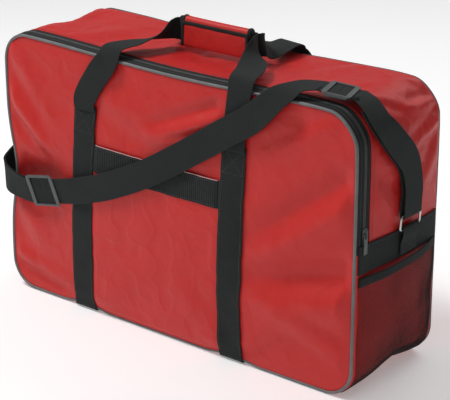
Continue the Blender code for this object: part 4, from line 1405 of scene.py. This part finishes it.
@dataclass
class Adjuster:
    """A three-bar slide: the webbing runs under the end bars and over the middle one."""

    side: Side
    centre: tuple[float, float, float]
    heading: tuple[float, float, float]
    sideways: tuple[float, float, float]
    length: float
    width: float = 0.062
    thick: float = 0.0066
    rail: float = 0.0045
    bar: float = 0.002
    end_half: float = 0.0045
    radius: float = 0.0042

    def __post_init__(self) -> None:
        """Makes the three directions square to each other."""
        self.middle = np.array(self.centre)
        self.along = unit(np.array(self.heading))
        across = np.array(self.sideways)
        self.across = unit(across - (across @ self.along) * self.along)
        self.out = np.cross(self.along, self.across)

    def spots(self, places: Sequence[float], under: float = 0.0) -> list[tuple[float, ...]]:
        """Controls of webbing that passes straight through, under metres below the middle."""
        start = self.middle - self.out * under
        return [(*(start + self.along * d), *self.across, STRAP_WIDTH) for d in places]

    def place(self, d: Array, w: Array, h: Array) -> Array:
        """A point d along, w across and h out from the centre."""
        axes = np.stack([self.along, self.across, self.out])
        return self.middle + np.stack(np.broadcast_arrays(d, w, h), -1) @ axes

    def build(self) -> None:
        """A frame of two deep rails and two thin end bars, and the middle bar."""
        end, side = self.length / 2 - self.end_half, self.width / 2 - self.rail / 2
        arc = np.radians(np.linspace(0, 90, 8))
        bends = []
        for turn, (a, b) in enumerate(((1, 1), (-1, 1), (-1, -1), (1, -1))):
            angle = arc + math.radians(90 * turn)
            d = a * (end - self.radius) + self.radius * np.cos(angle)
            bends.append(np.stack([d, b * (side - self.radius) + self.radius * np.sin(angle)], -1))
        loop = corners([*np.concatenate(bends), bends[0][0]], 0.003)[:-1]
        step = unit(np.roll(loop, -1, 0) - np.roll(loop, 1, 0))
        on_bar = smooth(np.abs(loop[:, 0]), end - self.end_half, end - 0.0012)
        level = on_bar * (self.thick / 2 - self.bar / 2)
        high = self.thick / 2 + (self.bar / 2 - self.thick / 2) * on_bar
        wide = self.rail / 2 + (self.end_half - self.rail / 2) * on_bar
        middle = self.place(loop[:, 0], loop[:, 1], level)
        turned = step[:, :1] * self.along + step[:, 1:] * self.across
        side_way = np.cross(turned, self.out) * wide[:, None]
        points = sweep(middle, side_way, self.out * high[:, None], 3.6, 16)
        name = f"{self.side.word}_adjuster"
        frame_piece = surface(f"{name}_frame", points, Finish.PLASTIC, ring=True, loop=True)
        ride(frame_piece, name, name)
        w = np.linspace(-side, side, 24)
        middle = self.place(0 * w, w, np.full_like(w, -self.thick / 2 + self.bar / 2))
        ribs = 1 + 0.10 * np.abs(np.sin(w * 900.0))
        bar = sweep(middle, self.along * 0.005, self.out * (self.bar / 2 * ribs)[:, None], 3.0, 12)
        ride(surface(f"{name}_middle_bar", bar, Finish.PLASTIC, ring=True), name)


@dataclass
class Strap:
    """One long webbing from the left ring over the front and top to the right ring, doubled at both ends."""

    form: BagForm
    left_ring: Ring
    right_ring: Ring
    left: Adjuster
    right: Adjuster
    gathered: float = 0.012
    under: float = 0.0048

    def fold(self, centre: Array, outwards: Array, tip: Any, across: Any, width: float) -> list[Any]:
        """A half circle round the wire, from its outer side to its inner one."""
        reach = self.left_ring.wire + 0.0008 + WEBBING_THICK / 2
        turn = np.linspace(0, math.pi, 7)[:, None]
        spots = centre + reach * (np.cos(turn) * outwards + np.sin(turn) * np.asarray(tip, float))
        return [(*spot, *across, width) for spot in spots]

    def left_run(self, under: float) -> list[tuple[float, ...]]:
        """Round the left front edge from the ring to the adjuster, with the lower layer inside the upper."""
        across = (0.0, -0.38, 0.92)
        rows = [
            (-0.4150, -0.0480, 0.2570, *across, 0.026),
            (-0.4145, -0.0700, 0.2465, *across, 0.044),
            (-0.4125, -0.0900, 0.2370, *across, 0.049),
            (-0.4078, -0.1090, 0.2280, 0.0, -0.36, 0.93, 0.050),
            (-0.3985, -0.1250, 0.2215, 0.20, -0.22, 0.95, 0.050),
            (-0.3800, -0.1345, 0.2165, 0.12, -0.08, 0.99, 0.050),
            (-0.3560, -0.1385, 0.2130, -0.02, -0.14, 0.98, 0.050),
        ]
        inwards = [(1, 0), (1, 0), (1, 0.05), (0.97, 0.26), (0.75, 0.66), (0.3, 0.95), (0.1, 1)]
        return [(x + under * a, y + under * b, *rest) for (x, y, *rest), (a, b) in zip(rows, inwards)]

    def down_end(self, under: float) -> list[tuple[float, ...]]:
        """From the right top corner down to the ring.

        Args:
            under: How far this layer lies inside the upper one at the ring. Higher up they lie closer.

        Returns:
            The strap's controls.
        """
        flat, quarter = self.form.flat, self.form.quarter
        corner = flat + quarter
        rows = [
            (flat + 0.40 * quarter, -0.0640, 0.22, 0.0110),
            (flat + 0.75 * quarter, -0.0610, 0.25, 0.0110),
            (corner + 0.012, -0.0290, 0.28, 0.0115),
            (corner + 0.050, 0.0030, 0.22, 0.0125),
            (corner + 0.095, 0.0160, 0.08, 0.0130),
            (corner + 0.124, self.right_ring.y, 0.0, 0.0135),
        ]
        made = []
        for s, y, lean, lift in rows:
            x, z, nx, nz = (float(v) for v in self.form.outline(s))
            out = float(self.form.crown(np.array(s), np.array(y)))
            out += lift - under * (0.65 + 0.35 * (lift - 0.0110) / 0.0025)
            made.append((x + nx * out, y, z + nz * out, -lean * nz, 1.0, lean * nx, STRAP_WIDTH))
        return made

    def controls(self) -> tuple[list[tuple[float, ...]], int, int]:
        """The whole line, and the rows at which it passes the adjusters' middles."""
        front = [
            (-0.2200, -0.1415, 0.2335, -0.22, -0.16, 0.95),
            (-0.1790, -0.1425, 0.2460, -0.30, -0.08, 0.93),
            (-0.1170, -0.1435, 0.2695, -0.40, -0.02, 0.92),
            (-0.0225, -0.1430, 0.3170, -0.48, 0.0, 0.88),
            (0.0845, -0.1365, 0.3850, -0.52, 0.0, 0.86),
            (0.1370, -0.1350, 0.4200, -0.55, 0.0, 0.83),
            (0.1880, -0.1355, 0.4530, -0.58, 0.05, 0.81),
            (0.2150, -0.1345, 0.4770, -0.60, 0.24, 0.75),
            (0.2390, -0.1240, 0.5010, -0.66, 0.53, 0.53),
            (0.2600, -0.0985, 0.5160, -0.50, 0.85, 0.14),
        ]
        ring = self.left_ring
        leg = ring.tilt(np.array([0.0, -ring.half, ring.rise / 2]))
        left_fold = self.fold(leg, ring.turned((1, 0, 0)), (0, 1, 0), ring.turned((0, 0, -1)), self.gathered)
        ring = self.right_ring
        wire = ring.tilt(np.array([0.0, 0.0, ring.rise]))
        right_fold = self.fold(wire, ring.turned((1, 0, 0)), ring.turned((0, 0, -1)), (0, 1, 0), STRAP_WIDTH)
        first = [
            *self.left.spots((0.010, -0.020, -0.040), self.under),
            *self.left_run(0.0026)[::-1],
            *left_fold[::-1],
            *self.left_run(0.0),
            *self.left.spots((-0.040, -0.030)),
        ]
        middle = [
            *self.left.spots((0.0, 0.030, 0.040)),
            *[(*row, STRAP_WIDTH) for row in front],
            *self.right.spots((-0.036, -0.028)),
        ]
        last = [
            *self.right.spots((0.0, 0.028, 0.036)),
            *self.down_end(0.0),
            *right_fold,
            *self.down_end(0.0080)[::-1],
        ]
        return [*first, *middle, *last], len(first), len(first) + len(middle)

    def build(self) -> None:
        """Three pieces that meet inside the adjusters."""
        rows, first, second = self.controls()
        step = 0.0025
        whole = smooth_line(rows, step)
        cuts = [len(smooth_line(rows[: n + 1], step)) - 1 for n in (first, second)]
        LOG.info("strap is %.3f m long", float(lengths(whole[:, :3])[-1]))
        points, measures = strip(whole, WEBBING_THICK, WEBBING_CUP, 7)
        for name, low, high, ring, start, end in (
            ("left_loop", 0, cuts[0], "left_ring", (-0.385, -0.130, 0.2165), (-0.415, -0.045, 0.260)),
            ("middle", cuts[0], cuts[1], None, None, None),
            ("right_loop", cuts[1], len(whole) - 1, "right_ring", (0.41, -0.03, 0.42), (0.41, 0.013, 0.304)),
        ):
            part = slice(low, high + 1)
            piece = surface(f"strap_{name}", points[part], Finish.WEBBING, measures[part], WEBBING_THICK)
            if ring:
                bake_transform(piece)
                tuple(start)
                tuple(end)
            else:
                ride(piece, "bag", "shoulder_strap")


@dataclass
class SeamStitches:
    """Rows of red thread on the cloth behind the zip, and of black thread on its tapes."""

    form: BagForm
    zip_end: float = 0.262

    def build(self) -> None:
        """Sews all four rows."""
        thread = Stitching("seam_stitches", 0.0046)
        end = float(self.form.station(self.zip_end)) - 0.015
        s = np.linspace(-end, end, 900)
        out = self.form.outward(s)
        for y, lift in ((-0.0800, 0.0012), (-0.0745, 0.0003)):
            thread.sew(self.form.gusset(s, np.full_like(s, y), lift), out)
        thread.piece(Finish.RED_THREAD, "bag")
        tape = Stitching("tape_stitches", 0.0040)
        for y in (-0.1095, -0.0870):
            tape.sew(self.form.gusset(s, np.full_like(s, y), 0.0004), out)
        tape.piece(Finish.BLACK_THREAD, "bag", Slot.TAPE)


@dataclass
class Stage:
    """The floor, the lamps and the camera."""

    lens: float = 142.0
    aim: tuple[float, float, float] = (0.0, 0.0, 0.25)
    reach: float = 6.0
    drop: float = 0.0006

    def lamp(self, name: str, place: tuple[float, float, float], size: float, power: float) -> None:
        """A square soft light aimed at the bag."""
        data = bpy.data.lights.new(name, "AREA")
        data.shape, data.size, data.energy = "SQUARE", size, power
        back = unit(np.array(place) - np.array(self.aim))
        side = unit(np.cross([0.0, 0.0, 1.0], back))
        self.put(add(name, data), side, np.cross(back, side), back, place)

    @staticmethod
    def put(thing: bpy.types.Object, side: Array, up: Array, back: Array, place: Sequence[float]) -> None:
        """Sets an object's axes and place."""
        turn = np.eye(4)
        turn[:3, 0], turn[:3, 1], turn[:3, 2], turn[:3, 3] = side, up, back, place
        thing.matrix_world = Matrix(turn.tolist())

    def build(self) -> None:
        """Pale floor and world, a key high on the left, a fill in front, a lamp behind, and the camera."""
        floor = bpy.data.meshes.new("floor")
        ends = [(a * self.reach, b * self.reach, -self.drop) for a, b in ((-1, -1), (1, -1), (1, 1), (-1, 1))]
        floor.from_pydata(ends, [], [(0, 1, 2, 3)])
        floor.materials.append(Floor().material())
        add("floor", floor)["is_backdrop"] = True
        world = bpy.data.worlds.new("studio")
        world.use_nodes = True
        sky = world.node_tree.nodes["Background"].inputs
        sky["Color"].default_value, sky["Strength"].default_value = (1.0, 1.0, 1.0, 1.0), 0.30
        bpy.context.scene.world = world
        bpy.context.scene.view_settings.view_transform = "Standard"
        self.lamp("key", (-1.3, -1.0, 3.0), 0.8, 66.0)
        self.lamp("fill", (1.2, -3.2, 1.6), 2.0, 6.0)
        self.lamp("rear", (0.4, 2.2, 2.6), 2.2, 26.0)
        data = bpy.data.cameras.new("camera")
        data.lens, data.sensor_width, data.sensor_fit = self.lens, 36.0, "HORIZONTAL"
        data.clip_end = 50.0
        camera = bpy.context.scene.camera = add("camera", data)
        right = unit(np.array([0.7766, 0.6300, 0.00125]))
        back = unit(np.array([0.5874, -0.7248, 0.3600]))
        self.put(camera, right, np.cross(back, right), back, (1.8815, -2.2869, 1.3708))


def main() -> None:
    """Builds the bag from its cloth outwards, then the stage."""
    logging.basicConfig(level=logging.INFO, format="%(name)s: %(message)s")
    form = BagForm()
    Shell(form).build()
    Piping(form).build()
    Zip(form).build()
    SeamStitches(form).build()
    HaulWebbing(form).build()
    Handle(form).build()
    FrontPocket(form).build()
    EndPockets(form).build()
    left_ring = Ring(Side.LEFT, 0.0, 168.0)
    right_ring = Ring(Side.RIGHT, 0.015, 4.0)
    left = Adjuster(Side.LEFT, (-0.284, -0.141, 0.2195), (0.966, 0.03, 0.19), (-0.24, -0.20, 0.95), 0.066)
    right = Adjuster(Side.RIGHT, (0.3235, -0.0715, 0.515), (0.930, 0.30, -0.12), (-0.30, 0.95, 0.0), 0.050)
    for part in (left_ring, right_ring, left, right):
        part.build()
    Strap(form, left_ring, right_ring, left, right).build()
    Stage().build()
    boxes = {"cad": CAD_BOX, "visual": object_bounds()}
    {key: [[float(v) for v in corner] for corner in box] for key, box in boxes.items()}


if __name__ == "__main__":
    main()
